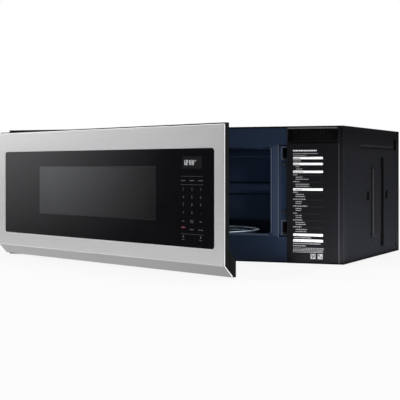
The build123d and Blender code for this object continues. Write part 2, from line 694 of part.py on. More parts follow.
def fan_motor():
    """Open-frame motor on two straps behind the shroud."""
    y0 = SHROUD_Y + SHROUD_T + FAN_MOTOR_GAP
    stator = wall(
        FAN_X - FAN_MOTOR_W / 2, FAN_X + FAN_MOTOR_W / 2,
        FAN_Z - FAN_MOTOR_H / 2, FAN_Z + FAN_MOTOR_H / 2, y0, y0 + FAN_MOTOR_L, 4.0,
    )
    reach = FAN_R + STRAP_REACH
    half = STRAP_W / 2
    leg_h = STRAP_Z + half
    for side in (-1, 1):
        z = FAN_Z + side * STRAP_Z
        stator += block(FAN_X - reach, FAN_X + reach, y0 - STRAP_T, y0, z - half, z + half)
    for x in (FAN_X - reach, FAN_X + reach - STRAP_T):
        stator += block(x, x + STRAP_T, SHROUD_Y + SHROUD_T, y0, FAN_Z - leg_h, FAN_Z + leg_h)
    return stator - rod_y(FAN_X, FAN_Z, y0 - STRAP_T, y0 + FAN_MOTOR_L, FAN_SHAFT_R + RUNNING)


def fan_shaft():
    y1 = SHROUD_Y + SHROUD_T + FAN_MOTOR_GAP + FAN_MOTOR_L
    return rod_y(FAN_X, FAN_Z, SHROUD_Y - FAN_DEPTH, y1, FAN_SHAFT_R)


def fan_blades():
    """Axial fan: pitched blades that widen from the hub to the tip."""
    hub = rod_y(FAN_X, FAN_Z, SHROUD_Y - FAN_DEPTH, SHROUD_Y, FAN_HUB_R)
    middle_y = SHROUD_Y - FAN_DEPTH / 2
    root_z, tip_z = FAN_HUB_R - 2, FAN_R - 2
    face = make_face(Polyline(
        (-FAN_ROOT / 2, root_z), (FAN_ROOT / 2, root_z), (FAN_TIP / 2, tip_z - FAN_TIP / 4),
        (FAN_TIP / 3, tip_z), (-FAN_TIP / 4, tip_z), (-FAN_TIP / 2, tip_z - FAN_TIP / 3),
        close=True,
    ))
    blade = Rot(0, 0, FAN_PITCH) * extrude(Plane.XZ * face, FAN_BLADE_T / 2, both=True)
    fan = hub
    for turn in range(FAN_BLADES):
        turned = Rot(0, turn * 360 / FAN_BLADES, 0) * blade
        fan += Pos(FAN_X, middle_y, FAN_Z) * turned
    return fan - rod_y(FAN_X, FAN_Z, SHROUD_Y - FAN_DEPTH, SHROUD_Y, FAN_SHAFT_R)


def noise_filter_board():
    """Mains filter board on four posts of the right side panel."""
    y0, y1, z0, z1 = FILTER_BOARD
    board = cheek(y0, y1, z0, z1, BOARD_X - BOARD_T, BOARD_X)
    for y in (y0 + BOARD_INSET, y1 - BOARD_INSET):
        for z in (z0 + BOARD_INSET, z1 - BOARD_INSET):
            board += rod_x(y, z, BOARD_X, SIDE - SHEET, BOARD_POST_R)
    face = BOARD_X - BOARD_T
    board += rod_x(y0 + COIL_AT[0], z0 + COIL_AT[1], face - COIL_L, face, COIL_R)
    for dy, dz, width, height, rise in BOARD_BLOCKS:
        board += cheek(y0 + dy, y0 + dy + width, z0 + dz, z0 + dz + height, face - rise, face)
    return board


# ------------------------------------------------------------------ control bay front
def control_bay_cover():
    """Black moulded cover with the cooling air inlet sunk above it."""
    y0, y1 = FRONT - PANEL_PROUD, FRONT + AIR_DEPTH
    back = y1 - PANEL_T
    cover = wall(PANEL_X0, PANEL_X1, 0, CEILING, y0, y0 + PANEL_T)
    cover += wall(PANEL_X0, PANEL_X1, AIR_Z0 - PANEL_T, CEILING - SHEET, y0, y1)
    left, right = PANEL_X0 + RECESS_EDGE, PANEL_X1 - PANEL_T
    cover -= wall(left, right, AIR_Z0, AIR_Z1, y0, back, RECESS_CORNER)
    cover -= wall(left, left + 2 * RECESS_CORNER, AIR_Z0, AIR_Z1, y0, back)
    for index in range(VANE_COUNT):
        x0 = PANEL_X0 + VANE_INSET + index * VANE_PITCH
        cover -= wall(x0, x0 + VANE_SLOT, AIR_Z0 + VANE_MARGIN, AIR_Z1 - VANE_MARGIN, back, y1)
    rib = PANEL_T
    cover += wall(PANEL_X0, PANEL_X0 + rib, LATCH_Z0, LATCH_Z1, y0 + PANEL_T, FRONT + LATCH_DEPTH)
    rib_z1 = AIR_Z0 - PANEL_T
    return cover + wall(PANEL_X1 - rib, PANEL_X1, RIB_Z0, rib_z1, y0 + PANEL_T, FRONT + RIB_D)


def latch_board():
    """Moulded board behind the slots: two pockets for the hooks and seats for the switches."""
    y0 = FRONT + LATCH_DEPTH + SHEET
    y1 = y0 + CATCH_D
    x0, x1 = SLOT_X0 - CATCH_WALL, SLOT_X0 + SLOT_W + CATCH_WALL
    board = block(x0, x1, y0, y0 + CATCH_WALL, LATCH_Z0, LATCH_Z1)
    board += block(x0, x0 + CATCH_WALL - SHEET, y0, y1, LATCH_Z0, LATCH_Z1)
    for z0, z1 in SLOTS_Z:
        board += block(x0, x1, y0, y1, z0 - CATCH_WALL, z1 + CATCH_WALL)
        board -= block(SLOT_X0, SLOT_X0 + SLOT_W, y0, y1 - CATCH_WALL, z0, z1)
    for x, z in CATCH_SCREWS:
        board -= rod_y(x, z, y0, y0 + CATCH_WALL, SCREW_R)
    return board


def door_switches():
    """Three snap switches on the rear of the catch board."""
    y0 = FRONT + LATCH_DEPTH + SHEET + CATCH_D
    boxes = []
    for slot_z1 in (SLOTS_Z[0][1], SLOTS_Z[1][1], SLOTS_Z[1][1] - SWITCH_H - 2 * SHEET):
        z1 = slot_z1 - SHEET
        boxes.append(block(SLOT_X0, SLOT_X0 + SWITCH_W, y0, y0 + SWITCH_D, z1 - SWITCH_H, z1))
    return group(*boxes)


def screw_y(x, z, y):
    """Pan-head screw driven towards +Y, with the underside of its head at y."""
    head = rod_y(x, z, y - SCREW_HEAD_H, y, SCREW_HEAD_R)
    head = chamfer(head.edges().sort_by(Axis.Y)[0], SCREW_ROUND, SCREW_ROUND / 2)
    return head + rod_y(x, z, y, y + SCREW_LENGTH, SCREW_R)


def catch_screws():
    """Screws that hold the catch board behind the sunk strip."""
    y = FRONT + LATCH_DEPTH
    return group(*[screw_y(x, z, y) for x, z in CATCH_SCREWS])


# ------------------------------------------------------------------ turntable drive


def turntable_motor():
    """Flat synchronous motor under the cavity floor, with its two mounting ears."""
    top = HUB_Z - LINER
    can = post(CAVITY_MID_X, CAVITY_MID_Y, top - MOTOR_CAN_H, top, MOTOR_CAN_R)
    ears = deck(
        CAVITY_MID_X - MOTOR_CAN_R - MOTOR_EAR, CAVITY_MID_X + MOTOR_CAN_R + MOTOR_EAR,
        CAVITY_MID_Y - 2 * SHAFT_R, CAVITY_MID_Y + 2 * SHAFT_R, top - SHEET, top, 6.0,
    )
    floor = top - MOTOR_CAN_H + MOTOR_FLOOR
    return can + ears - post(CAVITY_MID_X, CAVITY_MID_Y, floor, top, SHAFT_R + RUNNING)


def turntable_shaft():
    """Output shaft, flat on one side where the coupler grips it."""
    bottom = HUB_Z - LINER - MOTOR_CAN_H + MOTOR_FLOOR + FREE
    top = TRAY_Z - FREE - COUPLER_CAP
    shaft = post(CAVITY_MID_X, CAVITY_MID_Y, bottom, top, SHAFT_R)
    flat = SHAFT_R * 0.6
    return shaft - block(
        CAVITY_MID_X + flat, CAVITY_MID_X + 2 * SHAFT_R,
        CAVITY_MID_Y - SHAFT_R, CAVITY_MID_Y + SHAFT_R, HUB_Z + FREE, top,
    )


def trefoil(grow):
    """Three-lobed outline of the coupler, or of the hub that fits round it."""
    shape = Circle(COUPLER_LOBE_R + COUPLER_WALL + grow)
    for turn in (0, 120, 240):
        lobe = Pos(COUPLER_R - COUPLER_LOBE_R, 0) * Circle(COUPLER_LOBE_R + grow)
        lobe += Pos((COUPLER_R - COUPLER_LOBE_R) / 2, 0) * Rectangle(
            COUPLER_R - COUPLER_LOBE_R, 2 * (COUPLER_LOBE_R + grow)
        )
        shape += Rot(0, 0, turn) * lobe
    return Pos(CAVITY_MID_X, CAVITY_MID_Y) * shape


def coupler():
    """Moulded three-lobed driver that stands in the middle of the cavity floor."""
    z0 = HUB_Z + FREE
    body = extrude(Plane.XY.offset(z0) * trefoil(0), TRAY_Z - FREE - z0)
    return body - turntable_shaft()


def glass_tray():
    """Dished glass plate with a lobed hub underneath that drops over the coupler."""
    r0 = TRAY_R - TRAY_SLOPE
    top = TRAY_Z + TRAY_H
    section = make_face(Polyline(
        (0, TRAY_Z), (r0, TRAY_Z), (TRAY_R - 1, top - 3.4), (TRAY_R, top - 1.5),
        (TRAY_R - 1, top), (TRAY_R - 4, top), (r0, TRAY_Z + TRAY_T), (0, TRAY_Z + TRAY_T),
        close=True,
    ))
    plate = revolve(Plane.XZ * section, Axis.Z)
    plate = Pos(CAVITY_MID_X, CAVITY_MID_Y, 0) * plate
    hub = post(CAVITY_MID_X, CAVITY_MID_Y, TRAY_Z - HUB_DROP, TRAY_Z, COUPLER_R + HUB_WALL)
    hub -= extrude(Plane.XY.offset(TRAY_Z - HUB_DROP) * trefoil(HUB_FIT), HUB_DROP)
    return plate + hub


def roller_ring():
    """Moulded hoop with three spokes, a guide ring and an axle stub for each roller."""
    half = RING_BAR / 2
    z0, z1 = ROLLER_Z - half, ROLLER_Z + half - 0.5
    stub_end = ROLLER_R0 + ROLLER_W + FREE + 2.0
    spoke_mid = (GUIDE_RING_R + RING_R) / 2
    spoke = Pos(spoke_mid, 0) * Rectangle(RING_R - GUIDE_RING_R, RING_BAR)
    hoop = Circle(RING_R + half)
    stubs = []
    web = Circle(RING_R - half) - Circle(GUIDE_RING_R + 3)
    for turn in range(ROLLER_COUNT):
        angle = turn * 360 / ROLLER_COUNT
        web -= Rot(0, 0, angle) * spoke
        stub = rod_x(0, ROLLER_Z, RING_R, stub_end, AXLE_STUB_R)
        stub += rod_x(0, ROLLER_Z, ROLLER_R0 + ROLLER_W + FREE, stub_end, AXLE_STUB_R + 0.9)
        stubs.append(Rot(0, 0, angle) * stub)
    ring = extrude(Plane.XY.offset(z0) * (hoop - Circle(GUIDE_RING_R) - web), z1 - z0)
    return Pos(CAVITY_MID_X, CAVITY_MID_Y, 0) * (ring + stubs)


def roller(number):
    """Grooved roller on its stub of the ring."""
    wheel = rod_x(0, ROLLER_Z, ROLLER_R0, ROLLER_R0 + ROLLER_W, ROLLER_D / 2)
    wheel = chamfer(wheel.edges().filter_by(GeomType.CIRCLE), 1.0)
    wheel -= rod_x(0, ROLLER_Z, ROLLER_R0, ROLLER_R0 + ROLLER_W, AXLE_STUB_R + RUNNING)
    angle = number * 360 / ROLLER_COUNT
    return Pos(CAVITY_MID_X, CAVITY_MID_Y, 0) * (Rot(0, 0, angle) * wheel)


# ------------------------------------------------------------------ vent blower
def blade_line(offset, turn):
    """Forward-curved line across the cage, offset sideways and turned about the axle."""
    r0, r1 = WHEEL_R - BLADE_DEPTH - 1, WHEEL_R + 1
    sag = BLADE_DEPTH / 5
    lead = BLADE_DEPTH / 2
    line = Polyline((r0, offset), ((r0 + r1) / 2, offset - sag), (r1, offset + lead))
    return Rot(0, 0, turn) * line


def blade_gap():
    """Outline of the space between one blade and the next."""
    here = blade_line(BLADE_T / 2, 0)
    there = blade_line(-BLADE_T / 2, 360 / BLADES)
    return make_face([
        *here.edges(), Line(here @ 1, there @ 1), *there.edges(), Line(there @ 0, here @ 0)
    ])


def blower_wheel():
    """Right squirrel-cage wheel: blades between two rims, carried by a disc half way along."""
    x0, x1 = WHEEL_X - WHEEL_L / 2, WHEEL_X + WHEEL_L / 2
    wheel = rod_x(REAR_BAY_Y, WHEEL_Z, x0, x1, WHEEL_R)
    core = WHEEL_R - BLADE_DEPTH
    wheel -= rod_x(REAR_BAY_Y, WHEEL_Z, x0, WHEEL_X - DISC_T / 2, core)
    wheel -= rod_x(REAR_BAY_Y, WHEEL_Z, WHEEL_X + DISC_T / 2, x1, core)
    wheel += rod_x(REAR_BAY_Y, WHEEL_Z, WHEEL_X - WHEEL_HUB_L / 2, WHEEL_X + WHEEL_HUB_L / 2, 2 * AXLE_R)
    gaps = []
    half_l = WHEEL_L / 2 - RIM_T - DISC_T / 2
    for turn in range(BLADES):
        face = Pos(REAR_BAY_Y, WHEEL_Z) * (Rot(0, 0, turn * 360 / BLADES) * blade_gap())
        for start in (x0 + RIM_T, WHEEL_X + DISC_T / 2):
            gaps.append(extrude(Plane.YZ.offset(start) * face, half_l))
    wheel -= gaps
    return wheel - rod_x(REAR_BAY_Y, WHEEL_Z, x0, x1, AXLE_R)


def blower_axle():
    reach = WHEEL_X + WHEEL_L / 2
    return rod_x(REAR_BAY_Y, WHEEL_Z, -reach, reach, AXLE_R)


def scroll_face(grow):
    """Volute outline: widens steadily from the cut-off, then runs straight up to the plenum."""
    start = WHEEL_R + SCROLL_GAP
    end = DUCT_D / 2
    sweep_angle = 180 + CUTOFF_ANGLE
    steps = 8
    points = []
    for step in range(steps + 1):
        share = step / steps
        angle = math.radians(CUTOFF_ANGLE - share * sweep_angle)
        radius = start + share * (end - start) + grow
        points.append((radius * math.cos(angle), radius * math.sin(angle)))
    top = PLENUM_Z0 - WHEEL_Z
    lip = (points[0][0], top)
    corner = (points[-1][0], top)
    curve = Polyline(*points)
    walls = Polyline(points[-1], corner, lip, points[0])
    return Pos(REAR_BAY_Y, WHEEL_Z) * make_face(curve + walls)


def blower_scroll():
    """Right volute housing, open at the top, with a round inlet in each end plate."""
    half = WHEEL_L / 2 + SCROLL_END + SHEET
    x0, x1 = WHEEL_X - half, WHEEL_X + half
    shell = extrude(Plane.YZ.offset(x0) * scroll_face(SHEET), x1 - x0)
    shell -= extrude(Plane.YZ.offset(x0 + SHEET) * scroll_face(0), x1 - x0 - 2 * SHEET)
    inlet = WHEEL_R - BLADE_DEPTH + SCROLL_END
    return shell - rod_x(REAR_BAY_Y, WHEEL_Z, x0, x1, inlet)


def blower_motor():
    """Motor between the two wheels, with a smaller bearing boss at each end."""
    half = MOTOR_L / 2
    motor = rod_x(REAR_BAY_Y, WHEEL_Z, BOSS_L - half, half - BOSS_L, MOTOR_R)
    motor += rod_x(REAR_BAY_Y, WHEEL_Z, -half, half, MOTOR_R / 2)
    return motor - rod_x(REAR_BAY_Y, WHEEL_Z, -half, half, AXLE_R + RUNNING)


def motor_cradle():
    """Saddle on the rear panel that carries the blower motor."""
    y0 = REAR_BAY_Y + MOTOR_R * CRADLE_AHEAD
    half = CRADLE_W / 2
    z0, z1 = WHEEL_Z - CRADLE_H / 2, WHEEL_Z + CRADLE_H / 2
    saddle = block(-half, half, y0, WALL_IN, z0, z1)
    return saddle - rod_x(REAR_BAY_Y, WHEEL_Z, -half, half, MOTOR_R)


def exhaust_plenum():
    """Sheet box from the scrolls up to the duct outlet, with a ledge for the damper flap."""
    x1 = DUCT_W / 2
    y0, y1 = REAR_BAY_Y - DUCT_D / 2, REAR_BAY_Y + DUCT_D / 2
    box = block(-x1 - SHEET, x1 + SHEET, y0 - SHEET, y1 + SHEET, PLENUM_Z0, CEILING)
    box -= block(-x1, x1, y0, y1, PLENUM_Z0 + SHEET, CEILING)
    half = WHEEL_L / 2 + SCROLL_END
    lip = REAR_BAY_Y + (WHEEL_R + SCROLL_GAP) * math.cos(math.radians(CUTOFF_ANGLE))
    for x in (-WHEEL_X, WHEEL_X):
        box -= block(x - half, x + half, y0, lip, PLENUM_Z0, PLENUM_Z0 + SHEET)
    box += block(-x1, x1, y0, y0 + LEDGE_D, FLAP_Z - FREE - LEDGE_T, FLAP_Z - FREE)
    pin_y, pin_z = flap_axis()
    return box - rod_x(pin_y, pin_z, -x1 - SHEET, x1 + SHEET, FLAP_PIN_R + RUNNING)


def flap_axis():
    """Y and Z of the damper flap's pins."""
    barrel = FLAP_PIN_R + FLAP_BARREL
    return REAR_BAY_Y + DUCT_D / 2 - barrel - 2 * FREE, FLAP_Z + FLAP_T / 2


def damper_flap():
    """Light flap across the outlet, hung on pins along its rear edge."""
    x1 = DUCT_W / 2 - FLAP_GAP
    pin_y, pin_z = flap_axis()
    y0 = REAR_BAY_Y - DUCT_D / 2 + FLAP_GAP
    flap = deck(-x1, x1, y0, pin_y, FLAP_Z, FLAP_Z + FLAP_T)
    flap += rod_x(pin_y, pin_z, -x1, x1, FLAP_PIN_R + FLAP_BARREL)
    reach = DUCT_W / 2 + SHEET
    return flap + rod_x(pin_y, pin_z, -reach, reach, FLAP_PIN_R)


# ------------------------------------------------------------------ underside
def grease_filter(x):
    """Framed baffle filter that fills its opening and tilts down about its rear edge."""
    x0, x1 = x - FILTER_W / 2, x + FILTER_W / 2
    y0, y1 = FILTER_Y1 - FILTER_D, FILTER_Y1
    z0, z1 = SHEET, SHEET + FILTER_T
    pane = deck(x0, x1, y0, y1, z0, z1, 3.0)
    for low, high in ((z0, z0 + FILTER_SUNK), (z1 - FILTER_SUNK, z1)):
        pane -= deck(
            x0 + FILTER_RIM, x1 - FILTER_RIM, y0 + FILTER_RIM, y1 - FILTER_RIM, low, high, 2.0
        )
    pitch = (FILTER_W - 2 * FILTER_RIM) / FILTER_SLATS
    row = (FILTER_D - 2 * FILTER_RIM) / 2
    for column in range(FILTER_SLATS):
        left = x0 + FILTER_RIM + (column + 1 / 2) * pitch - SLAT_GAP / 2
        for side in range(2):
            front = y0 + FILTER_RIM + side * row + SLAT_END
            pane -= block(left, left + SLAT_GAP, front, front + row - 2 * SLAT_END, z0, z1)
    for tab_x in (x - TAB_X, x + TAB_X):
        pane += block(
            tab_x - TAB_W / 2, tab_x + TAB_W / 2, y1 - TAB_T, y1 + FILTER_GAP + TAB_LAP,
            DECK + FREE, DECK + FREE + TAB_T,
        )
    low, high = y0 + SHEET, y0 + SHEET + PULL_D
    pull = deck(x - PULL_W / 2, x + PULL_W / 2, low, high, 0, SHEET, 4.0)
    half = PULL_W / 2 - PULL_BAR
    pull -= deck(x - half, x + half, low + PULL_BAR, high - PULL_BAR, 0, SHEET, 2.0)
    return pane + pull


def cooktop_lens(x):
    """Clear lamp window: the lower step fills its opening, the upper one lies on the plate."""
    half_w, half_d = LENS_W / 2 - LENS_FREE, LENS_D / 2 - LENS_FREE
    lens = deck(
        x - half_w, x + half_w, LENS_Y - half_d, LENS_Y + half_d,
        DECK - LENS_T / 2, DECK, LENS_CORNER,
    )
    half_w, half_d = LENS_W / 2 + LENS_LAP, LENS_D / 2 + LENS_LAP
    return lens + deck(
        x - half_w, x + half_w, LENS_Y - half_d, LENS_Y + half_d,
        DECK, DECK + LENS_T / 2, LENS_CORNER + LENS_LAP / 2,
    )


def cooktop_lamps():
    """A lamp board with its finned heat sink over each lens."""
    lamps = []
    z0 = DECK + LENS_T / 2
    z1 = z0 + SINK_T
    y0, y1 = LENS_Y - SINK_D / 2, LENS_Y + SINK_D / 2
    for x in (-LENS_X, LENS_X):
        left = x - SINK_W / 2
        lamp = deck(left, left + SINK_W, y0, y1, z0, z1)
        pitch = (SINK_W - SINK_FIN_T) / (SINK_FINS - 1)
        for fin in range(SINK_FINS):
            fin_x = left + fin * pitch
            lamp += block(fin_x, fin_x + SINK_FIN_T, y0, y1, z1, z1 + SINK_FIN_H)
        lamps.append(lamp)
    return group(*lamps)


def oven_lamp():
    """Lamp block on the cavity's right wall; its round lens plugs a hole in the liner."""
    x0 = MOUTH_X1 + LINER
    lamp = cheek(
        LAMP_Y - LAMP_W / 2, LAMP_Y + LAMP_W / 2, LAMP_Z - LAMP_H / 2, LAMP_Z + LAMP_H / 2,
        x0, x0 + LAMP_T, 3.0,
    )
    return lamp + rod_x(LAMP_Y, LAMP_Z, MOUTH_X1 + LAMP_FREE, x0, LAMP_R - LAMP_FREE)


# ------------------------------------------------------------------ fixings on the case
def cabinet_bolt_nuts():
    """Weld nuts under the top panel for the two bolts that come down through the cabinet."""
    nuts = []
    for x in (-BOLT_X, BOLT_X):
        face = RegularPolygon(NUT_AF / 2, 6, major_radius=False) - Circle(BOLT_HOLE_R)
        nuts.append(extrude(Plane.XY.offset(CEILING - NUT_H) * (Pos(x, BOLT_Y) * face), NUT_H))
    return group(*nuts)


def cord_bush():
    """Bush for the mains cord, snapped into the top panel at the rear right."""
    bush = post(CORD_X, CORD_Y, CEILING - BUSH_DROP, BODY_H + BUSH_RISE, BUSH_R)
    bush += post(CORD_X, CORD_Y, BODY_H, BODY_H + BUSH_RISE, BUSH_R + BUSH_RIM)
    bush += post(CORD_X, CORD_Y, CEILING - BUSH_DROP, CEILING, BUSH_R + BUSH_BARB)
    return bush - post(CORD_X, CORD_Y, CEILING - BUSH_DROP, BODY_H + BUSH_RISE, CORD_R)


# ------------------------------------------------------------------ hinges
def hinge_bracket(z0):
    """Steel bracket on the face plate: a leaf with the riveted pin, and the leg that is screwed."""
    half = LUG_R - 0.5
    leaf = post(PIN_X, PIN_Y, z0, z0 + BRACKET_T, half)
    leaf += block(PIN_X - half, PIN_X + half, PIN_Y, FRONT, z0, z0 + BRACKET_T)
    low, high = lug_span(z0)
    leaf += post(PIN_X, PIN_Y, min(low, z0), max(high, z0 + BRACKET_T), PIN_R)
    upper = z0 > BODY_H / 2
    leg_z0 = z0 + BRACKET_T - LEG_H if upper else z0
    leg = wall(PIN_X - half, PIN_X - half + LEG_W, leg_z0, leg_z0 + LEG_H, FRONT - LEG_T, FRONT)
    return leaf + leg


def lug_span(z0):
    """Lower and upper Z of the door's lug beside the bracket leaf at z0."""
    if z0 > BODY_H / 2:
        return z0 - FREE - LUG_H, z0 - FREE
    return z0 + BRACKET_T + FREE, z0 + BRACKET_T + FREE + LUG_H


def door_hinge(z0):
    """Door half of a hinge: a plate on the slab's back with the bored lug."""
    low, high = lug_span(z0)
    slab_back = DOOR_FRONT + SLAB
    lug = post(PIN_X, PIN_Y, low, high, LUG_R)
    lug += block(PIN_X - LUG_R, PIN_X + LUG_R, slab_back, PIN_Y, low, high)
    plate_z0 = high - PLATE_H if z0 > BODY_H / 2 else low
    lug += wall(
        PIN_X - LUG_R, PIN_X - LUG_R + PLATE_W, plate_z0, plate_z0 + PLATE_H,
        slab_back, slab_back + PLATE_T,
    )
    return lug - post(PIN_X, PIN_Y, low, high, PIN_R + RUNNING)


# ------------------------------------------------------------------ door
def panel(x0, x1, z0, z1, b0, b1, radius=0.0):
    """Plate of the closed door, between the depths b0 and b1 behind the door's front."""
    return wall(x0, x1, z0, z1, DOOR_FRONT + b0, DOOR_FRONT + b1, radius)


def bevel_z(depth, cover):
    """Z of the line that runs parallel to the bevel, cover behind it, at the given depth."""
    fall = BEVEL_Z - LIP_Z
    length = math.hypot(LIP_DEPTH, fall)
    return BEVEL_Z + (cover * length - fall * depth) / LIP_DEPTH


def bevel_end(cover):
    """Depth and Z of the point cover behind the bevel's lower edge."""
    fall = BEVEL_Z - LIP_Z
    length = math.hypot(LIP_DEPTH, fall)
    return LIP_DEPTH + cover * fall / length, LIP_Z + cover * LIP_DEPTH / length


def at_door(points):
    """(depth, z) corners of the door's section as (y, z)."""
    return [(DOOR_FRONT + depth, z) for depth, z in points]


def steel_front():
    """Brushed steel front folded from one sheet: face, bevelled lip and turned edges."""
    end = bevel_end(STEEL)
    section = [
        (0, BEVEL_Z), (LIP_DEPTH, LIP_Z), end, (STEEL, bevel_z(STEEL, STEEL)),
        (STEEL, DOOR_TOP - STEEL), (RETURN, DOOR_TOP - STEEL), (RETURN, DOOR_TOP), (0, DOOR_TOP),
    ]
    sheet = strip(at_door(section), DOOR_X0, DOOR_X1)
    for x0 in (DOOR_X0, DOOR_X1 - STEEL):
        sheet += panel(x0, x0 + STEEL, bevel_z(STEEL, STEEL), DOOR_TOP, 0, RETURN)
    bend = sheet.edges().filter_by(Axis.X).sort_by_distance((0, DOOR_FRONT, BEVEL_Z))[0]
    sheet = fillet(bend, 2.5)
    rim = sheet.faces().filter_by(Axis.Y).sort_by(Axis.Y)[0].outer_wire().edges()
    sheet = fillet([edge for edge in rim if edge.center().Z > BEVEL_Z + 5], 0.6)
    return sheet - panel(
        DOOR_X0 + GLASS_X0, DOOR_X0 + GLASS_X1, GLASS_Z0, GLASS_Z1, 0, STEEL, GLASS_CORNER
    )


def door_glass():
    """Black printed glass let into the steel front."""
    return panel(
        DOOR_X0 + GLASS_X0 + GLASS_GAP, DOOR_X0 + GLASS_X1 - GLASS_GAP,
        GLASS_Z0 + GLASS_GAP, GLASS_Z1 - GLASS_GAP, GLASS_SINK, GLASS_SINK + GLASS_T,
        GLASS_CORNER - GLASS_GAP,
    )


def door_frame():
    """Black moulded slab behind the steel: it carries the glass, the catch and the boards."""
    top = DOOR_TOP + BACKING_RISE
    section = [
        (STEEL, bevel_z(STEEL, STEEL)), (SLAB, bevel_z(SLAB, STEEL)), (SLAB, top),
        (RETURN, top), (RETURN, DOOR_TOP - STEEL), (STEEL, DOOR_TOP - STEEL),
    ]
    slab = strip(at_door(section), DOOR_X0, DOOR_X1)
    for x0 in (DOOR_X0, DOOR_X1 - STEEL):
        slab -= panel(x0, x0 + STEEL, 0, DOOR_TOP, 0, RETURN)
    slab -= panel(
        DOOR_X0 + GLASS_X0, DOOR_X0 + GLASS_X1, GLASS_Z0, GLASS_Z1,
        0, GLASS_SINK + GLASS_T, GLASS_CORNER,
    )
    slab -= panel(
        DOOR_X0 + WINDOW_X0, DOOR_X0 + WINDOW_X1, WINDOW_Z0, WINDOW_Z1,
        0, SLAB, WINDOW_CORNER,
    )
    floor = GLASS_SINK + GLASS_T
    slab -= panel(DOOR_X0 + BAY_X0, DOOR_X0 + BAY_X1, BAY_Z0, BAY_Z1, floor, floor + BAY_D, 2.0)
    slab -= key_channel()
    outer = slab.edges().filter_by(Axis.Z).group_by(Axis.Y)[-1]
    return fillet([outer.sort_by(Axis.X)[0], outer.sort_by(Axis.X)[-1]], 1.5)


def key_channel():
    """Channel in the slab's back for the catch key and its spring."""
    low = SLOTS_Z[0][0] + HOOK_LIFT - FREE
    top = key_top() + SPRING_H
    return panel(KEY_X - KEY_ROOM, KEY_X + KEY_ROOM, low, top, KEY_B0, SLAB)


def key_top():
    return SLOTS_Z[1][0] + HOOK_LIFT + HOOK_H + KEY_ABOVE


def latch_key():
    """Sliding catch key: one bar in the slab with a nosed hook at each end."""
    x0, x1 = KEY_X - KEY_W / 2, KEY_X + KEY_W / 2
    reach = DOOR_T + HOOK_REACH
    low = SLOTS_Z[0][0] + HOOK_LIFT
    key = panel(x0, x1, low, key_top(), KEY_B0 + FREE, KEY_B0 + FREE + KEY_BAR_T)
    for slot_z0, _ in SLOTS_Z:
        z0 = slot_z0 + HOOK_LIFT
        z1 = z0 + HOOK_H
        hook = [
            (KEY_B0 + FREE, z0), (reach - 6, z0), (reach - 5, z0 - NOSE), (reach - 2, z0 - NOSE),
            (reach, z0 + 2), (reach - 2, z1 - 3), (reach - 6, z1 - 1), (KEY_B0 + FREE, z1),
        ]
        key += strip(at_door(hook), x0, x1)
    return key


def latch_spring():
    """Spring between the top of the key and the end of its channel."""
    z0, z1 = key_top() + SPRING_FREE, key_top() + SPRING_H - SPRING_FREE
    y = DOOR_FRONT + (KEY_B0 + SLAB) / 2
    return post(KEY_X, y, z0, z1, SPRING_R) - post(KEY_X, y, z0, z1, SPRING_R - SPRING_WIRE)


def choke_ring(inset, b0, b1):
    """Filled plate of the choke frame's outline, drawn in by inset."""
    return panel(
        CHOKE_X0 + inset, CHOKE_X1 - inset, CHOKE_Z0 + inset, CHOKE_Z1 - inset, b0, b1,
        max(5.0 - inset, 0.0),
    )


def choke_frame():
    """Pressed inner pan: field trap groove round its rim, thin perforated sheet in its middle."""
    b0, b1 = SLAB, SLAB + CHOKE_D
    inner = SHEET + CHOKE_GROOVE
    pan = choke_ring(0, b0, b1)
    pan -= choke_ring(SHEET, b0 + SHEET, b1) - choke_ring(inner, b0 + SHEET, b1)
    pan -= choke_ring(inner + SHEET, b0, b0 + PLATEAU - SHEET)
    pan -= choke_ring(inner, b0 + PLATEAU, b1)
    return pan - panel(
        DOOR_X0 + WINDOW_X0, DOOR_X0 + WINDOW_X1, WINDOW_Z0, WINDOW_Z1,
        b0, b0 + PLATEAU - SCREEN_T, WINDOW_CORNER,
    )


def inner_glass():
    """Clear pane over the choke frame's middle, inside the cavity."""
    inset = CHOKE_GROOVE + SHEET + GLASS_GAP
    depth = SLAB + PLATEAU
    return choke_ring(inset, depth, depth + INNER_GLASS_T)


def choke_cover():
    """Black plastic ring that hides the groove and clamps the inner glass."""
    b1 = SLAB + CHOKE_D
    depth = SLAB + PLATEAU + INNER_GLASS_T
    ring = choke_ring(0, b1, b1 + COVER_T) - choke_ring(COVER_W, b1, b1 + COVER_T)
    foot = choke_ring(FOOT_INSET, depth, b1) - choke_ring(FOOT_INSET + FOOT_T, depth, b1)
    return ring + foot


def grip_liner():
    """Black liner of the finger pocket behind the bevelled lip."""
    rear = STEEL + GRIP_T
    corner = SLAB + GRIP_T
    section = [
        (SLAB, bevel_z(SLAB, STEEL)), bevel_end(STEEL), bevel_end(rear),
        (corner, bevel_z(corner, rear)), (corner, GRIP_TOP), (SLAB, GRIP_TOP),
    ]
    return strip(at_door(section), DOOR_X0 + CAP_W, DOOR_X1 - CAP_W)


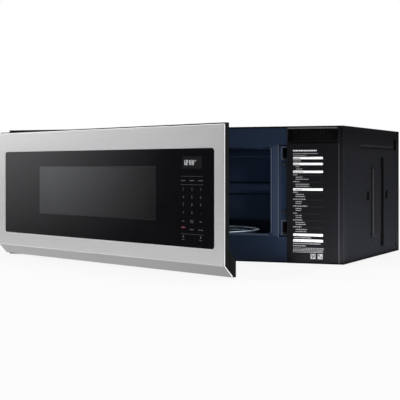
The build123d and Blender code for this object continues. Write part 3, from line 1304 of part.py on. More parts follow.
def end_cap():
    """Right end of the finger pocket: closes the lip and rounds up into the slab."""
    end = bevel_end(STEEL)
    face = make_face(Polyline(*at_door([
        (SLAB, bevel_z(SLAB, STEEL)), end, (end[0] + CAP_STEP, LIP_Z), (CAP_D, LIP_Z),
        (CAP_D, CAP_TOP - CAP_SHOULDER), (CAP_D - CAP_SLOPE, CAP_TOP - CAP_SLOPE / 2),
        (SLAB, CAP_TOP),
    ]), close=True))
    corners = face.vertices().sort_by(Axis.X)[-3:]
    face = fillet(corners.sort_by(Axis.Y)[0], CAP_ROUND / 2)
    face = fillet(face.vertices().sort_by(Axis.X)[-1], 2 * CAP_ROUND)
    cap = extrude(Plane.YZ.offset(DOOR_X1 - CAP_W) * face, CAP_W)
    plan_w = 3 * CAP_W
    middle = Pos(DOOR_X1 - plan_w / 2, DOOR_FRONT + CAP_D / 2)
    plan = middle * RectangleRounded(plan_w, CAP_D, CAP_ROUND)
    return cap & extrude(Plane.XY * plan, CAP_TOP)


def clock_module():
    """Display block behind the glass."""
    floor = GLASS_SINK + GLASS_T
    return panel(
        DOOR_X0 + CLOCK_X0, DOOR_X0 + CLOCK_X1, CLOCK_Z0, CLOCK_Z1,
        floor, floor + BAY_D - BOARD_T,
    )


def touch_board():
    """Key sensor board bonded to the back of the glass."""
    floor = GLASS_SINK + GLASS_T
    x0, x1 = DOOR_X0 + BAY_X0 + BAY_MARGIN, DOOR_X0 + BAY_X1 - BAY_MARGIN
    z0, z1 = BAY_Z0 + BAY_MARGIN, CLOCK_Z0 - BAY_MARGIN
    return panel(x0, x1, z0, z1, floor, floor + BOARD_T)


def control_board():
    """Main control board on the floor of the pocket, with its tallest parts."""
    back = GLASS_SINK + GLASS_T + BAY_D
    face = back - BOARD_T
    x0, x1 = DOOR_X0 + BAY_X0 + BAY_MARGIN, DOOR_X0 + BAY_X1 - BAY_MARGIN
    board = panel(x0, x1, BAY_Z0 + BAY_MARGIN, BAY_Z1 - BAY_MARGIN, face, back)
    for dx, dz, width, height in BOARD_CHIPS:
        left, low = x0 + dx, BAY_Z0 + dz
        board += panel(left, left + width, low, low + height, face - CHIP_T, face)
    return board


# ------------------------------------------------------------------ assembly
def swung(piece):
    """The closed door's piece, turned open to the resting angle about the hinge pins."""
    return Pos(PIN_X, PIN_Y, 0) * (Rot(0, 0, -DOOR_REST) * (Pos(-PIN_X, -PIN_Y, 0) * piece))


def housing():
    right_side, left_side = both_sides(side_panel())
    nodes = {
        "right_side_panel": right_side,
        "left_side_panel": left_side,
        "top_panel": top_panel(),
        "rear_panel": rear_panel(),
        "base_plate": base_plate(),
        "face_plate": face_plate(),
        "cavity_liner": cavity_liner(),
        "cavity_back": cavity_back(),
        "cavity_floor": cavity_floor(),
        "waveguide": waveguide(),
        "waveguide_cover": waveguide_cover(),
        "magnetron": magnetron(),
        "transformer": transformer(),
        "capacitor": capacitor(),
        "fan_shroud": fan_shroud(),
        "fan_motor": fan_motor(),
        "noise_filter_board": noise_filter_board(),
        "control_bay_cover": control_bay_cover(),
        "latch_board": latch_board(),
        "door_switches": door_switches(),
        "catch_screws": catch_screws(),
        "turntable_motor": turntable_motor(),
        "blower_scrolls": group(*both_sides(blower_scroll())),
        "blower_motor": blower_motor(),
        "motor_cradle": motor_cradle(),
        "exhaust_plenum": exhaust_plenum(),
        "cooktop_lenses": group(cooktop_lens(-LENS_X), cooktop_lens(LENS_X)),
        "cooktop_lamps": cooktop_lamps(),
        "oven_lamp": oven_lamp(),
        "cabinet_bolt_nuts": cabinet_bolt_nuts(),
        "cord_bush": cord_bush(),
        "hinge_brackets": group(*[hinge_bracket(z) for z in HINGES_Z]),
    }
    return nodes


def door():
    nodes = {
        "steel_front": steel_front(),
        "door_frame": door_frame(),
        "door_glass": door_glass(),
        "choke_frame": choke_frame(),
        "choke_cover": choke_cover(),
        "inner_glass": inner_glass(),
        "grip_liner": grip_liner(),
        "end_caps": group(*both_sides(end_cap())),
        "clock_module": clock_module(),
        "touch_board": touch_board(),
        "control_board": control_board(),
        "door_hinges": group(*[door_hinge(z) for z in HINGES_Z]),
        "latch_key": latch_key(),
        "latch_spring": latch_spring(),
    }
    return {name: swung(piece) for name, piece in nodes.items()}


def moving_inside():
    nodes = {
        "coupler": coupler(),
        "turntable_shaft": turntable_shaft(),
        "glass_tray": glass_tray(),
        "roller_ring": roller_ring(),
        "blower_wheels": group(*both_sides(blower_wheel())),
        "blower_axle": blower_axle(),
        "fan_blades": fan_blades(),
        "fan_shaft": fan_shaft(),
        "damper_flap": damper_flap(),
        "right_grease_filter": grease_filter(FILTER_X),
        "left_grease_filter": grease_filter(-FILTER_X),
    }
    for number in range(ROLLER_COUNT):
        nodes[f"roller_{number + 1}"] = roller(number)
    return nodes


def main():
    os.makedirs("parts", exist_ok=True)
    nodes = {**housing(), **door(), **moving_inside()}
    for name, piece in nodes.items():
        export_step(Pos(0, 0, -BODY_H / 2) * piece, f"parts/{name}.step")
    print(len(nodes), "nodes")


main()
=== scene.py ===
import bpy
import math
import random
from mathutils import Matrix, Vector

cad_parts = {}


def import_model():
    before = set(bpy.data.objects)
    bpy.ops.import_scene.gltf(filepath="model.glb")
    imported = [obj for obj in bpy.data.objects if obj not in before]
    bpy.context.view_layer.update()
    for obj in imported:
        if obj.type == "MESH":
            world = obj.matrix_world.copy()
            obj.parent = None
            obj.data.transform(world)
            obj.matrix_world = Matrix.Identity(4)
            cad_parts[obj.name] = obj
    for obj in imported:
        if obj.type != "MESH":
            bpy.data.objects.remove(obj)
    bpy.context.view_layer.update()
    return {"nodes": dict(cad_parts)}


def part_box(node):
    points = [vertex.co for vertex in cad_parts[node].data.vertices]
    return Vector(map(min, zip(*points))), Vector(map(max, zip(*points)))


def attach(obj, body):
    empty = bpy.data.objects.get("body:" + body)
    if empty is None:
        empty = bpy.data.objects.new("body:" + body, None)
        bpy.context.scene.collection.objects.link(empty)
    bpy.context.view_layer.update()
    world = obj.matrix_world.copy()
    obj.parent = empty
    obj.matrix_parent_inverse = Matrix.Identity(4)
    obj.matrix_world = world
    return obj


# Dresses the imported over-the-range microwave: finishes for every node, printed marks on the
# door glass and on the control bay cover, lights, floor and the photograph's camera.
# Helpers take millimetres in the closed door's or the case's own directions, with Z counted
# from the underside of the case.

MM = 0.001
HALF_H = 134.5  # underside to the frame's origin
PIN = Vector((-370.0, -452.5, 0.0))  # the door's hinge axis
REST = math.radians(27.8)  # how far the door stands open
DOOR_LEFT = -379.5
GLASS_FACE = -471.6  # Y of the glass with the door closed
COVER_FACE = -441.0  # Y of the control bay cover
PRINT = 0.06  # thickness of printed marks
CAPITAL_SHARE = 0.7  # height of a figure in a font of size 1
# Rectangles of the door, from its left edge and from the underside: x0, x1, z0, z1.
WINDOW = (167.6, 567.2, 93.5, 190.2)
WINDOW_INNER = (200.7, 540.0, 96.5, 187.2)
CHOKE_WINDOW = (172.0, 562.0, 97.0, 187.0)
SCREEN_DOTS, CHOKE_DOTS = 620.0, 430.0  # per metre

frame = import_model()
scene = bpy.context.scene
nodes = frame["nodes"]


# ------------------------------------------------------------------ node helpers
class Shader:
    """A material with its Principled shader and short ways to add texture nodes."""

    def __init__(self, name, turn=0.0, move=(0, 0, 0)):
        self.material = bpy.data.materials.new(name)
        self.material.use_nodes = True
        self.tree = self.material.node_tree
        self.bsdf = self.tree.nodes["Principled BSDF"]
        coords = self.add("ShaderNodeTexCoord")
        self.space = self.add("ShaderNodeMapping")
        self.link(coords.outputs["Object"], self.space.inputs["Vector"])
        self.space.inputs["Rotation"].default_value = (0, 0, turn)
        self.space.inputs["Location"].default_value = move

    def add(self, kind, **settings):
        node = self.tree.nodes.new(kind)
        for key, value in settings.items():
            setattr(node, key, value)
        return node

    def link(self, source, target):
        self.tree.links.new(source, target)

    def stretched(self, scale):
        node = self.add("ShaderNodeMapping")
        node.inputs["Scale"].default_value = scale
        self.link(self.space.outputs["Vector"], node.inputs["Vector"])
        return node.outputs["Vector"]

    def noise(self, scale, stretch=(1, 1, 1), detail=3.0, rough=0.5):
        node = self.add("ShaderNodeTexNoise")
        node.inputs["Scale"].default_value = scale
        node.inputs["Detail"].default_value = detail
        node.inputs["Roughness"].default_value = rough
        self.link(self.stretched(stretch), node.inputs["Vector"])
        return node.outputs["Fac"]

    def dots(self, per_metre):
        """Distance from the nearest point of an even grid of dots."""
        node = self.add("ShaderNodeTexVoronoi", feature="F1")
        node.inputs["Scale"].default_value = per_metre
        node.inputs["Randomness"].default_value = 0.0
        self.link(self.space.outputs["Vector"], node.inputs["Vector"])
        return node.outputs["Distance"]

    def remap(self, value, low, high, start=0.3, end=0.7):
        node = self.add("ShaderNodeMapRange")
        node.inputs["From Min"].default_value = start
        node.inputs["From Max"].default_value = end
        node.inputs["To Min"].default_value = low
        node.inputs["To Max"].default_value = high
        self.link(value, node.inputs["Value"])
        return node.outputs["Result"]

    def blend(self, factor, first, second):
        """Colour between two colours or colour sockets."""
        node = self.add("ShaderNodeMix", data_type="RGBA")
        self.link(factor, node.inputs["Factor"])
        for value, socket in ((first, node.inputs[6]), (second, node.inputs[7])):
            if isinstance(value, bpy.types.NodeSocket):
                self.link(value, socket)
            else:
                socket.default_value = (*value, 1.0)
        return node.outputs[2]

    def math(self, operation, first, second=None):
        node = self.add("ShaderNodeMath", operation=operation)
        for index, value in enumerate((first, second)):
            if isinstance(value, bpy.types.NodeSocket):
                self.link(value, node.inputs[index])
            elif value is not None:
                node.inputs[index].default_value = value
        return node.outputs[0]

    def edges(self, radius):
        """Mask that is 1 along sharp edges, and the rounded normal there."""
        bevel = self.add("ShaderNodeBevel", samples=4)
        bevel.inputs["Radius"].default_value = radius
        geometry = self.add("ShaderNodeNewGeometry")
        dot = self.add("ShaderNodeVectorMath", operation="DOT_PRODUCT")
        self.link(bevel.outputs["Normal"], dot.inputs[0])
        self.link(geometry.outputs["Normal"], dot.inputs[1])
        return self.remap(dot.outputs["Value"], 1.0, 0.0, 0.75, 0.98), bevel.outputs["Normal"]

    def crevice(self, reach):
        """0 deep in grooves and inside corners, 1 on open surfaces: the mask of painted shade."""
        shade = self.add("ShaderNodeAmbientOcclusion", samples=6)
        shade.inputs["Distance"].default_value = reach
        return self.remap(shade.outputs["AO"], 0.0, 1.0, 0.35, 0.85)

    def bump(self, height, strength, distance, normal=None):
        node = self.add("ShaderNodeBump")
        node.inputs["Strength"].default_value = strength
        node.inputs["Distance"].default_value = distance
        self.link(height, node.inputs["Height"])
        if normal is not None:
            self.link(normal, node.inputs["Normal"])
        self.link(node.outputs["Normal"], self.bsdf.inputs["Normal"])

    def set(self, **values):
        for key, value in values.items():
            self.bsdf.inputs[key.replace("_", " ")].default_value = value

    def colour(self, socket):
        self.link(socket, self.bsdf.inputs["Base Color"])

    def roughness(self, socket):
        self.link(socket, self.bsdf.inputs["Roughness"])


def tint(colour, factor):
    return tuple(channel * factor for channel in colour)


def shaded(colour, factor):
    """Colour of a shaded place; strong highlights are greyer, as reflections are."""
    share = 0.5 if factor > 2.0 else 0.2 if factor > 1.0 else 0.0
    grey = sum(colour) / 3 * share
    return tuple(factor * (channel * (1 - share) + grey) for channel in colour)


def box_mask(shader, x0, x1, z0, z1, soft, across="X"):
    """1 inside a rectangle, in millimetres across and up from the underside, soft at its edges."""
    split = shader.add("ShaderNodeSeparateXYZ")
    shader.link(shader.space.outputs["Vector"], split.inputs["Vector"])
    total = None
    for axis, low, high in ((across, x0, x1), ("Z", z0 - HALF_H, z1 - HALF_H)):
        middle, half = (low + high) / 2 * MM, (high - low) / 2 * MM
        away = shader.math("ABSOLUTE", shader.math("SUBTRACT", split.outputs[axis], middle))
        inside = shader.remap(away, 1.0, 0.0, half - soft * MM, half)
        total = inside if total is None else shader.math("MULTIPLY", total, inside)
    return total


def finish(name, colour, rough, metallic=0.0, grain=900.0, relief=0.04, mottle=0.12,
           edge_wear_and_sheen=None, round_edge=0.0006, groove=0.0, shades=(), **extra):
    """Painted, moulded or bare surface: mottled colour, uneven gloss, fine relief, edges lighter
    from wear and painted highlight, painted shade in crevices, painted light and shade in
    rectangles.
    """
    shader = Shader(name)
    shader.set(Metallic=metallic, **extra)
    body = shader.blend(
        shader.noise(9.0, detail=2.0), tint(colour, 1.0 - mottle), tint(colour, 1.0 + mottle),
    )
    edge, normal = shader.edges(round_edge)
    # Edges lighter in patches: partly wear, partly a painted highlight along the edges.
    if edge_wear_and_sheen is not None:
        patchy = shader.math("MULTIPLY", edge, shader.remap(shader.noise(60.0), 0.5, 0.9))
        body = shader.blend(patchy, body, edge_wear_and_sheen)
    # Painted shade: the colour darkens in grooves and inside corners.
    if groove:
        body = shader.blend(shader.crevice(groove), tint(colour, 0.12), body)
    # Painted light and shade inside the given rectangles.
    for box, factor in shades:
        body = shader.blend(box_mask(shader, *box), body, shaded(colour, factor))
    shader.colour(body)
    shader.roughness(shader.remap(shader.noise(45.0), rough * 0.96, rough * 1.04))
    shader.bump(shader.noise(grain, detail=2.0), relief, 0.0004, normal)
    return shader.material


# ------------------------------------------------------------------ finishes
def door_space():
    """Rotation and offset that take a resting point to the closed door's own place."""
    turn = Matrix.Rotation(REST, 4, "Z")
    offset = PIN * MM - turn @ (PIN * MM)
    return REST, tuple(offset)


def door_mask(shader, box, soft):
    """Mask of a rectangle of the closed door, x from the door's left edge."""
    x0, x1, z0, z1 = box
    return box_mask(shader, DOOR_LEFT + x0, DOOR_LEFT + x1, z0, z1, soft)


def brushed_steel():
    """Stainless sheet brushed along the door's length."""
    shader = Shader("brushed_front", *door_space())
    shader.set(Metallic=1.0, Anisotropic=0.35)
    streaks = shader.noise(1.0, (5, 5, 2600), detail=4.0, rough=0.65)
    broad = shader.noise(1.0, (7, 7, 60), detail=2.0)
    base = shader.blend(
        shader.remap(streaks, 0.0, 1.0), (0.745, 0.745, 0.755), (0.845, 0.845, 0.855)
    )
    base = shader.blend(shader.remap(broad, 0.0, 0.5), base, (0.785, 0.787, 0.80))
    # Painted highlight: the sheet's sharp edges are made lighter.
    edge, normal = shader.edges(0.0008)
    base = shader.blend(shader.math("MULTIPLY", edge, 0.5), base, (0.90, 0.90, 0.91))
    shader.colour(base)
    shader.roughness(shader.remap(streaks, 0.29, 0.37))
    shader.bump(streaks, 0.10, 0.0003, normal)
    return shader.material


def black_glass():
    """Glass with black print behind it and a fine dotted window over the cavity."""
    shader = Shader("door_glass_black", *door_space())
    window = door_mask(shader, WINDOW, 0.8)
    inner = door_mask(shader, WINDOW_INNER, 1.2)
    holes = shader.remap(shader.dots(SCREEN_DOTS), 1.0, 0.0, 0.25, 0.45)
    screen = shader.blend(holes, (0.140, 0.142, 0.148), (0.066, 0.067, 0.070))
    screen = shader.blend(shader.math("MULTIPLY", inner, 0.45), screen, (0.160, 0.162, 0.168))
    print_black = shader.blend(
        shader.remap(shader.noise(9.0), 0.0, 1.0),
        (0.0036, 0.0037, 0.0046), (0.0048, 0.0049, 0.0060),
    )
    shader.colour(shader.blend(window, print_black, screen))
    shader.link(shader.math("MULTIPLY", window, 0.93), shader.bsdf.inputs["Metallic"])
    smear = shader.noise(11.0, (1, 1, 2.2), detail=5.0)
    shader.roughness(shader.remap(smear, 0.035, 0.085))
    shader.set(IOR=1.5, Specular_Tint=(0.93, 0.95, 1.0, 1.0))
    shader.bump(shader.noise(3.0), 0.015, 0.002)
    return shader.material


def choke_sheet():
    """Black painted sheet with the window's fine round holes, seen from inside the door."""
    shader = Shader("choke_paint", *door_space())
    window = door_mask(shader, CHOKE_WINDOW, 0.8)
    holes = shader.remap(shader.dots(CHOKE_DOTS), 1.0, 0.0, 0.28, 0.40)
    holes = shader.math("MULTIPLY", holes, window)
    edge, normal = shader.edges(0.0008)
    paint = shader.blend(shader.noise(9.0), (0.0105, 0.0107, 0.0118), (0.0125, 0.0127, 0.0138))
    # Painted highlight: the sheet's sharp edges are made lighter.
    paint = shader.blend(shader.math("MULTIPLY", edge, 0.6), paint, (0.05, 0.05, 0.053))
    shader.colour(shader.blend(holes, paint, (0.0006, 0.0006, 0.0007)))
    shader.roughness(shader.remap(shader.noise(45.0), 0.36, 0.42))
    shader.bump(shader.math("SUBTRACT", 1.0, holes), 0.4, 0.0004, normal)
    shader.set(Specular_IOR_Level=0.2)
    return shader.material


def enamel(name, colour, rough, shades=()):
    """Vitreous enamel: glossy, with slight orange peel and tiny pale flecks, painted highlights on
    its edges and painted shade in its corners.
    """
    shader = Shader(name)
    flecks = shader.noise(2600.0, detail=1.0)
    body = shader.blend(
        shader.noise(5.0, detail=1.0), tint(colour, 0.93), tint(colour, 1.07)
    )
    body = shader.blend(shader.remap(flecks, 0.0, 0.3, 0.66, 0.74), body, tint(colour, 2.4))
    edge, normal = shader.edges(0.0016)
    # Painted highlight: sharp edges much lighter.
    body = shader.blend(shader.math("MULTIPLY", edge, 0.85), body, tint(colour, 6.0))
    # Painted light and shade inside the given rectangles.
    for box, factor in shades:
        body = shader.blend(box_mask(shader, *box), body, shaded(colour, factor))
    # Painted shade: darker in grooves and inside corners.
    shader.colour(shader.blend(shader.crevice(0.009), tint(colour, 0.2), body))
    shader.roughness(shader.remap(shader.noise(30.0), rough * 0.95, rough * 1.05))
    shader.bump(shader.noise(420.0, detail=2.0), 0.03, 0.0004, normal)
    shader.set(Coat_Weight=0.2, Coat_Roughness=0.12, Specular_IOR_Level=0.3)
    return shader.material


def glass(name, colour, rough):
    shader = Shader(name)
    shader.set(Transmission_Weight=1.0, IOR=1.5)
    cloud = shader.remap(shader.noise(12.0), 0.0, 1.0)
    shader.colour(shader.blend(cloud, tint(colour, 0.96), colour))
    shader.roughness(shader.remap(shader.noise(25.0), rough, rough * 2.0))
    shader.bump(shader.noise(6.0), 0.02, 0.002)
    return shader.material


def tray_glass():
    """Clear glass whose rim is painted pale blue and less clear, a painted highlight along its
    edge.
    """
    shader = Shader("tray_glass")
    shader.set(IOR=1.5)
    low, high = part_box("glass_tray")
    middle = shader.add("ShaderNodeMapping")
    middle.inputs["Location"].default_value = (-(low[0] + high[0]) / 2, -(low[1] + high[1]) / 2, 0)
    shader.link(shader.space.outputs["Vector"], middle.inputs["Vector"])
    flat = shader.add("ShaderNodeVectorMath", operation="MULTIPLY")
    flat.inputs[1].default_value = (1, 1, 0)
    shader.link(middle.outputs["Vector"], flat.inputs[0])
    reach = shader.add("ShaderNodeVectorMath", operation="LENGTH")
    shader.link(flat.outputs["Vector"], reach.inputs[0])
    radius = (high[0] - low[0]) / 2
    rim = shader.remap(reach.outputs["Value"], 0.0, 1.0, radius - 0.006, radius - 0.004)
    # Painted highlight: the outer few millimetres of the rim turn pale blue and mostly opaque.
    shader.colour(shader.blend(rim, (0.86, 0.93, 0.97), (0.62, 0.76, 0.90)))
    shader.link(shader.remap(rim, 0.98, 0.25, 0.0, 1.0), shader.bsdf.inputs["Transmission Weight"])
    shader.roughness(shader.remap(shader.noise(25.0), 0.04, 0.09))
    shader.bump(shader.noise(6.0), 0.02, 0.002)
    return shader.material


def brushed_metal(name, colour, rough, stretch):
    shader = Shader(name)
    shader.set(Metallic=1.0)
    streaks = shader.noise(1.0, stretch, detail=3.0)
    spots = shader.noise(38.0, detail=2.0)
    base = shader.blend(shader.remap(streaks, 0.0, 1.0), tint(colour, 0.85), colour)
    shader.colour(shader.blend(shader.remap(spots, 0.0, 0.35), base, tint(colour, 0.7)))
    _, normal = shader.edges(0.0004)
    shader.roughness(shader.remap(spots, rough * 0.8, rough * 1.3))
    shader.bump(streaks, 0.05, 0.0003, normal)
    return shader.material


def wound_coil(name, colour):
    shader = Shader(name)
    shader.set(Metallic=0.6)
    wave = shader.add("ShaderNodeTexWave", bands_direction="Z")
    wave.inputs["Scale"].default_value = 260.0
    wave.inputs["Distortion"].default_value = 0.6
    shader.link(shader.space.outputs["Vector"], wave.inputs["Vector"])
    shader.colour(shader.blend(wave.outputs["Fac"], tint(colour, 0.35), colour))
    shader.roughness(shader.remap(shader.noise(30.0), 0.35, 0.5))
    shader.bump(wave.outputs["Fac"], 0.3, 0.0006)
    return shader.material


def circuit_board(name):
    shader = Shader(name)
    tracks = shader.add("ShaderNodeTexVoronoi", feature="DISTANCE_TO_EDGE")
    tracks.inputs["Scale"].default_value = 240.0
    shader.link(shader.space.outputs["Vector"], tracks.inputs["Vector"])
    line = shader.remap(tracks.outputs["Distance"], 1.0, 0.0, 0.02, 0.06)
    shader.colour(shader.blend(line, (0.012, 0.07, 0.03), (0.05, 0.16, 0.07)))
    shader.roughness(shader.remap(shader.noise(80.0), 0.3, 0.45))
    shader.bump(line, 0.2, 0.0002)
    return shader.material


# Lighter grey for worn edges that also carry a painted highlight.
GREY_EDGE_WEAR_AND_SHEEN = (0.10, 0.10, 0.105)
# Rows of shades: a rectangle with its softness (and the axis across), then the factor on the
# colour, above 1 where the photograph shows the place lit and below 1 where it is dark.
# Side panels, painted light and shade: shade over the top, in the groove, in the dimples and the
# notch; a highlight on the raised panel's front slope between two shaded strips; a crease shaded
# below and lit above.
SIDE_SHADES = [
    ((-600.0, 160.0, 215.0, 300.0, 42.0, "Y"), 0.45),
    ((-163.0, -134.0, 18.0, 211.0, 2.0, "Y"), 0.12),
    ((-242.0, -231.5, 41.0, 190.0, 1.5, "Y"), 0.04),
    ((-231.5, -218.5, 46.0, 186.0, 3.0, "Y"), 2.8),
    ((-218.0, -210.0, 46.0, 186.0, 2.0, "Y"), 0.65),
    ((-272.0, -253.0, 118.0, 140.0, 3.0, "Y"), 0.05),
    ((-121.0, -101.0, 118.0, 140.0, 3.0, "Y"), 0.05),
    ((-323.0, -60.0, 226.0, 230.5, 1.5, "Y"), 0.25),
    ((-323.0, -60.0, 231.0, 234.5, 1.5, "Y"), 2.2),
    ((-50.0, -24.0, 224.0, 252.0, 3.0, "Y"), 0.15),
]
# Front plate, painted light and shade: shade along the dark outer edges; painted highlights on the
# catch strip's edges, the mouth's rolled edge, the frames of the two slots and the mouth's lower
# edge, with the flats beside them lighter.
PLATE_SHADES = [
    ((-375.0, 275.0, 265.2, 270.0, 0.8), 0.05),
    ((-375.0, 275.0, -3.0, 3.0, 0.8), 0.05),
    ((243.4, 245.4, 50.0, 233.0, 0.7), 4.6),
    ((244.0, 270.0, 232.6, 234.4, 0.6), 2.6),
    ((244.0, 270.0, 48.2, 50.2, 0.6), 2.6),
    ((227.6, 231.6, 58.0, 227.0, 1.2), 4.6),
    ((232.6, 243.0, 52.0, 232.0, 1.2), 1.8),
    ((246.2, 249.6, 52.0, 231.0, 1.2), 1.8),
    ((249.4, 251.5, 54.0, 83.8, 0.6), 4.0),
    ((249.4, 264.0, 81.3, 83.8, 0.6), 4.0),
    ((249.4, 251.5, 202.6, 229.4, 0.6), 4.0),
    ((249.4, 264.0, 226.9, 229.4, 0.6), 4.0),
    ((-290.0, 226.0, 52.6, 56.4, 1.2), 3.2),
]
# Rear wall of the cavity, painted light and shade: lit middle, pressed band lit with shaded sides,
# lit upper crease, shaded foot.
BACK_SHADES = [
    ((-80.0, 55.0, 60.0, 208.0, 38.0), 1.9),
    ((-290.0, 222.0, 133.0, 149.0, 5.0), 1.9),
    ((-290.0, 222.0, 150.0, 156.0, 2.0), 0.12),
    ((-290.0, 222.0, 124.0, 129.5, 2.0), 0.12),
    ((-290.0, 222.0, 211.0, 215.0, 1.5), 2.4),
    ((-290.0, 222.0, 20.0, 71.0, 4.0), 0.2),
]
# Inside the latch slots, painted light: the ledge under each hook is made lighter.
CATCH_SHADES = [
    ((250.0, 264.0, 51.0, 59.5, 1.5), 14.0),
    ((250.0, 264.0, 199.6, 208.1, 1.5), 14.0),
]
# Control bay cover, painted light and shade: shade in the air recess and along its lower edge, a
# highlight on its upper lip below a shaded top strip, and a highlight on the right edge.
COVER_SHADES = [
    ((268.0, 366.0, 238.5, 262.0, 1.5), 0.45),
    ((265.0, 367.0, 234.6, 238.4, 1.0), 0.15),
    ((263.5, 366.0, 263.6, 266.6, 0.8), 15.0),
    ((262.0, 371.0, 266.7, 270.0, 0.5), 0.05),
    ((367.8, 370.6, -1.0, 235.0, 0.8), 5.0),
]
PAINTS = {
    "case": finish("case_paint", (0.0070, 0.0073, 0.0090), 0.32, grain=700.0, relief=0.03,
                   mottle=0.04, edge_wear_and_sheen=(0.07, 0.072, 0.08), round_edge=0.0012, groove=0.008,
                   Specular_IOR_Level=0.15),
    "side": finish("side_paint", (0.0092, 0.0096, 0.0118), 0.32, grain=700.0, relief=0.03,
                   mottle=0.04, edge_wear_and_sheen=(0.07, 0.072, 0.08), round_edge=0.0012, groove=0.008,
                   shades=SIDE_SHADES, Specular_IOR_Level=0.15),
    "cover": finish("cover_plastic", (0.0068, 0.0070, 0.0086), 0.36, grain=1500.0, relief=0.04,
                    mottle=0.04, edge_wear_and_sheen=(0.06, 0.06, 0.066), round_edge=0.0012, groove=0.006,
                    shades=COVER_SHADES, Specular_IOR_Level=0.15),
    "door_plastic": finish("door_plastic", (0.0050, 0.0050, 0.0056), 0.42, grain=1400.0,
                           relief=0.06, edge_wear_and_sheen=(0.03, 0.03, 0.032), Specular_IOR_Level=0.10),
    "polished_edge": brushed_metal("polished_edge", (0.90, 0.90, 0.91), 0.26, (60, 60, 900)),
    "catch_plastic": finish("catch_plastic", (0.018, 0.018, 0.020), 0.5, grain=1500.0,
                            relief=0.1, edge_wear_and_sheen=GREY_EDGE_WEAR_AND_SHEEN, shades=CATCH_SHADES),
    "white_plastic": finish("white_plastic", (0.62, 0.62, 0.58), 0.42, grain=1200.0,
                            relief=0.06, edge_wear_and_sheen=(0.72, 0.72, 0.70)),
    "rubber": finish("bush_rubber", (0.02, 0.02, 0.02), 0.75, grain=1100.0, relief=0.2,
                     edge_wear_and_sheen=(0.05, 0.05, 0.05)),
    "mica": finish("mica_sheet", (0.30, 0.27, 0.21), 0.55, grain=160.0, relief=0.2, mottle=0.3),
    "core": finish("laminations", (0.07, 0.055, 0.045), 0.55, grain=500.0, relief=0.2,
                   edge_wear_and_sheen=(0.20, 0.18, 0.16), metallic=0.5),
    "choke": choke_sheet(),
    "screen": finish("screen_wire", (0.0095, 0.0097, 0.0112), 0.5, grain=1500.0, mottle=0.04,
                     edge_wear_and_sheen=(0.03, 0.03, 0.033), Specular_IOR_Level=0.1),
    # Plate and cavity are one enamel in two tones: the plate's lighter and the cavity's darker, as
    # painted light and shade.
    "plate": enamel("plate_enamel", (0.0122, 0.0212, 0.0415), 0.30, PLATE_SHADES),
    "cavity": enamel("cavity_enamel", (0.0090, 0.0155, 0.0320), 0.30),
    "back": enamel("back_enamel", (0.0090, 0.0155, 0.0320), 0.30, BACK_SHADES),
    "black_zinc": finish("black_zinc", (0.035, 0.040, 0.050), 0.38, metallic=0.6, grain=500.0,
                         edge_wear_and_sheen=(0.14, 0.15, 0.17)),
    "zinc": brushed_metal("zinc_plate", (0.44, 0.455, 0.45), 0.42, (90, 90, 90)),
    "aluminium": brushed_metal("mill_aluminium", (0.72, 0.73, 0.74), 0.36, (300, 30, 30)),
    "shaft": brushed_metal("ground_steel", (0.60, 0.60, 0.60), 0.28, (900, 900, 60)),
    "steel": brushed_steel(),
    "black_glass": black_glass(),
    "tray_glass": tray_glass(),
    "clear_glass": glass("clear_glass", (0.93, 0.96, 0.96), 0.03),
    "coil": wound_coil("wound_copper", (0.62, 0.30, 0.14)),
    "board": circuit_board("board_green"),
}

FINISH_OF = {
    "case": ["top_panel", "rear_panel", "base_plate"],
    "choke": ["choke_frame"],
    "side": ["right_side_panel", "left_side_panel"],
    "cover": ["control_bay_cover"],
    "door_plastic": ["door_frame", "grip_liner", "end_caps", "choke_cover", "fan_shroud"],
    "catch_plastic": ["latch_board"],
    "white_plastic": ["door_switches", "oven_lamp", "clock_module", "latch_key",
                      "coupler", "roller_ring", "roller_1", "roller_2", "roller_3",
                      "blower_wheels", "fan_blades"],
    "rubber": ["cord_bush"],
    "mica": ["waveguide_cover"],
    "core": ["fan_motor"],
    "coil": ["transformer"],
    "plate": ["face_plate"],
    "cavity": ["cavity_liner", "cavity_floor"],
    "back": ["cavity_back"],
    "black_zinc": ["catch_screws"],
    "zinc": ["turntable_motor", "blower_scrolls", "blower_motor",
             "motor_cradle", "exhaust_plenum", "cabinet_bolt_nuts", "hinge_brackets",
             "door_hinges"],
    "aluminium": ["waveguide", "magnetron", "capacitor", "cooktop_lamps", "damper_flap",
                  "right_grease_filter", "left_grease_filter"],
    "shaft": ["latch_spring", "turntable_shaft", "blower_axle", "fan_shaft"],
    "steel": ["steel_front"],
    "black_glass": ["door_glass"],
    "tray_glass": ["glass_tray"],
    "clear_glass": ["inner_glass", "cooktop_lenses"],
    "board": ["noise_filter_board", "touch_board", "control_board"],
}

for key, names in FINISH_OF.items():
    for name in names:
        mesh = nodes[name].data
        mesh.materials.clear()
        mesh.materials.append(PAINTS[key])


# ------------------------------------------------------------------ printed marks
def door_point(x, y, z):
    """A point of the closed door, x from the door's left edge, swung to the resting angle."""
    point = Vector((DOOR_LEFT + x, y, z - HALF_H)) - PIN
    turned = Matrix.Rotation(-REST, 4, "Z") @ Vector((point.x, point.y, 0.0))
    return Vector((PIN.x + turned.x, PIN.y + turned.y, point.z)) * MM


def case_point(x, y, z):
    return Vector((x, y, z - HALF_H)) * MM


def ink(name, colour, rough=0.35, glow=0.0):
    """Screen-printed ink with slightly uneven coverage."""
    shader = Shader(name)
    shader.colour(shader.blend(
        shader.remap(shader.noise(900.0), 0.0, 1.0), tint(colour, 0.86), colour
    ))
    shader.roughness(shader.remap(shader.noise(300.0), rough * 0.8, rough * 1.2))
    shader.bump(shader.noise(2200.0), 0.05, 0.0001)
    if glow:
        shader.set(Emission_Color=(*colour, 1.0), Emission_Strength=glow)
    return shader.material


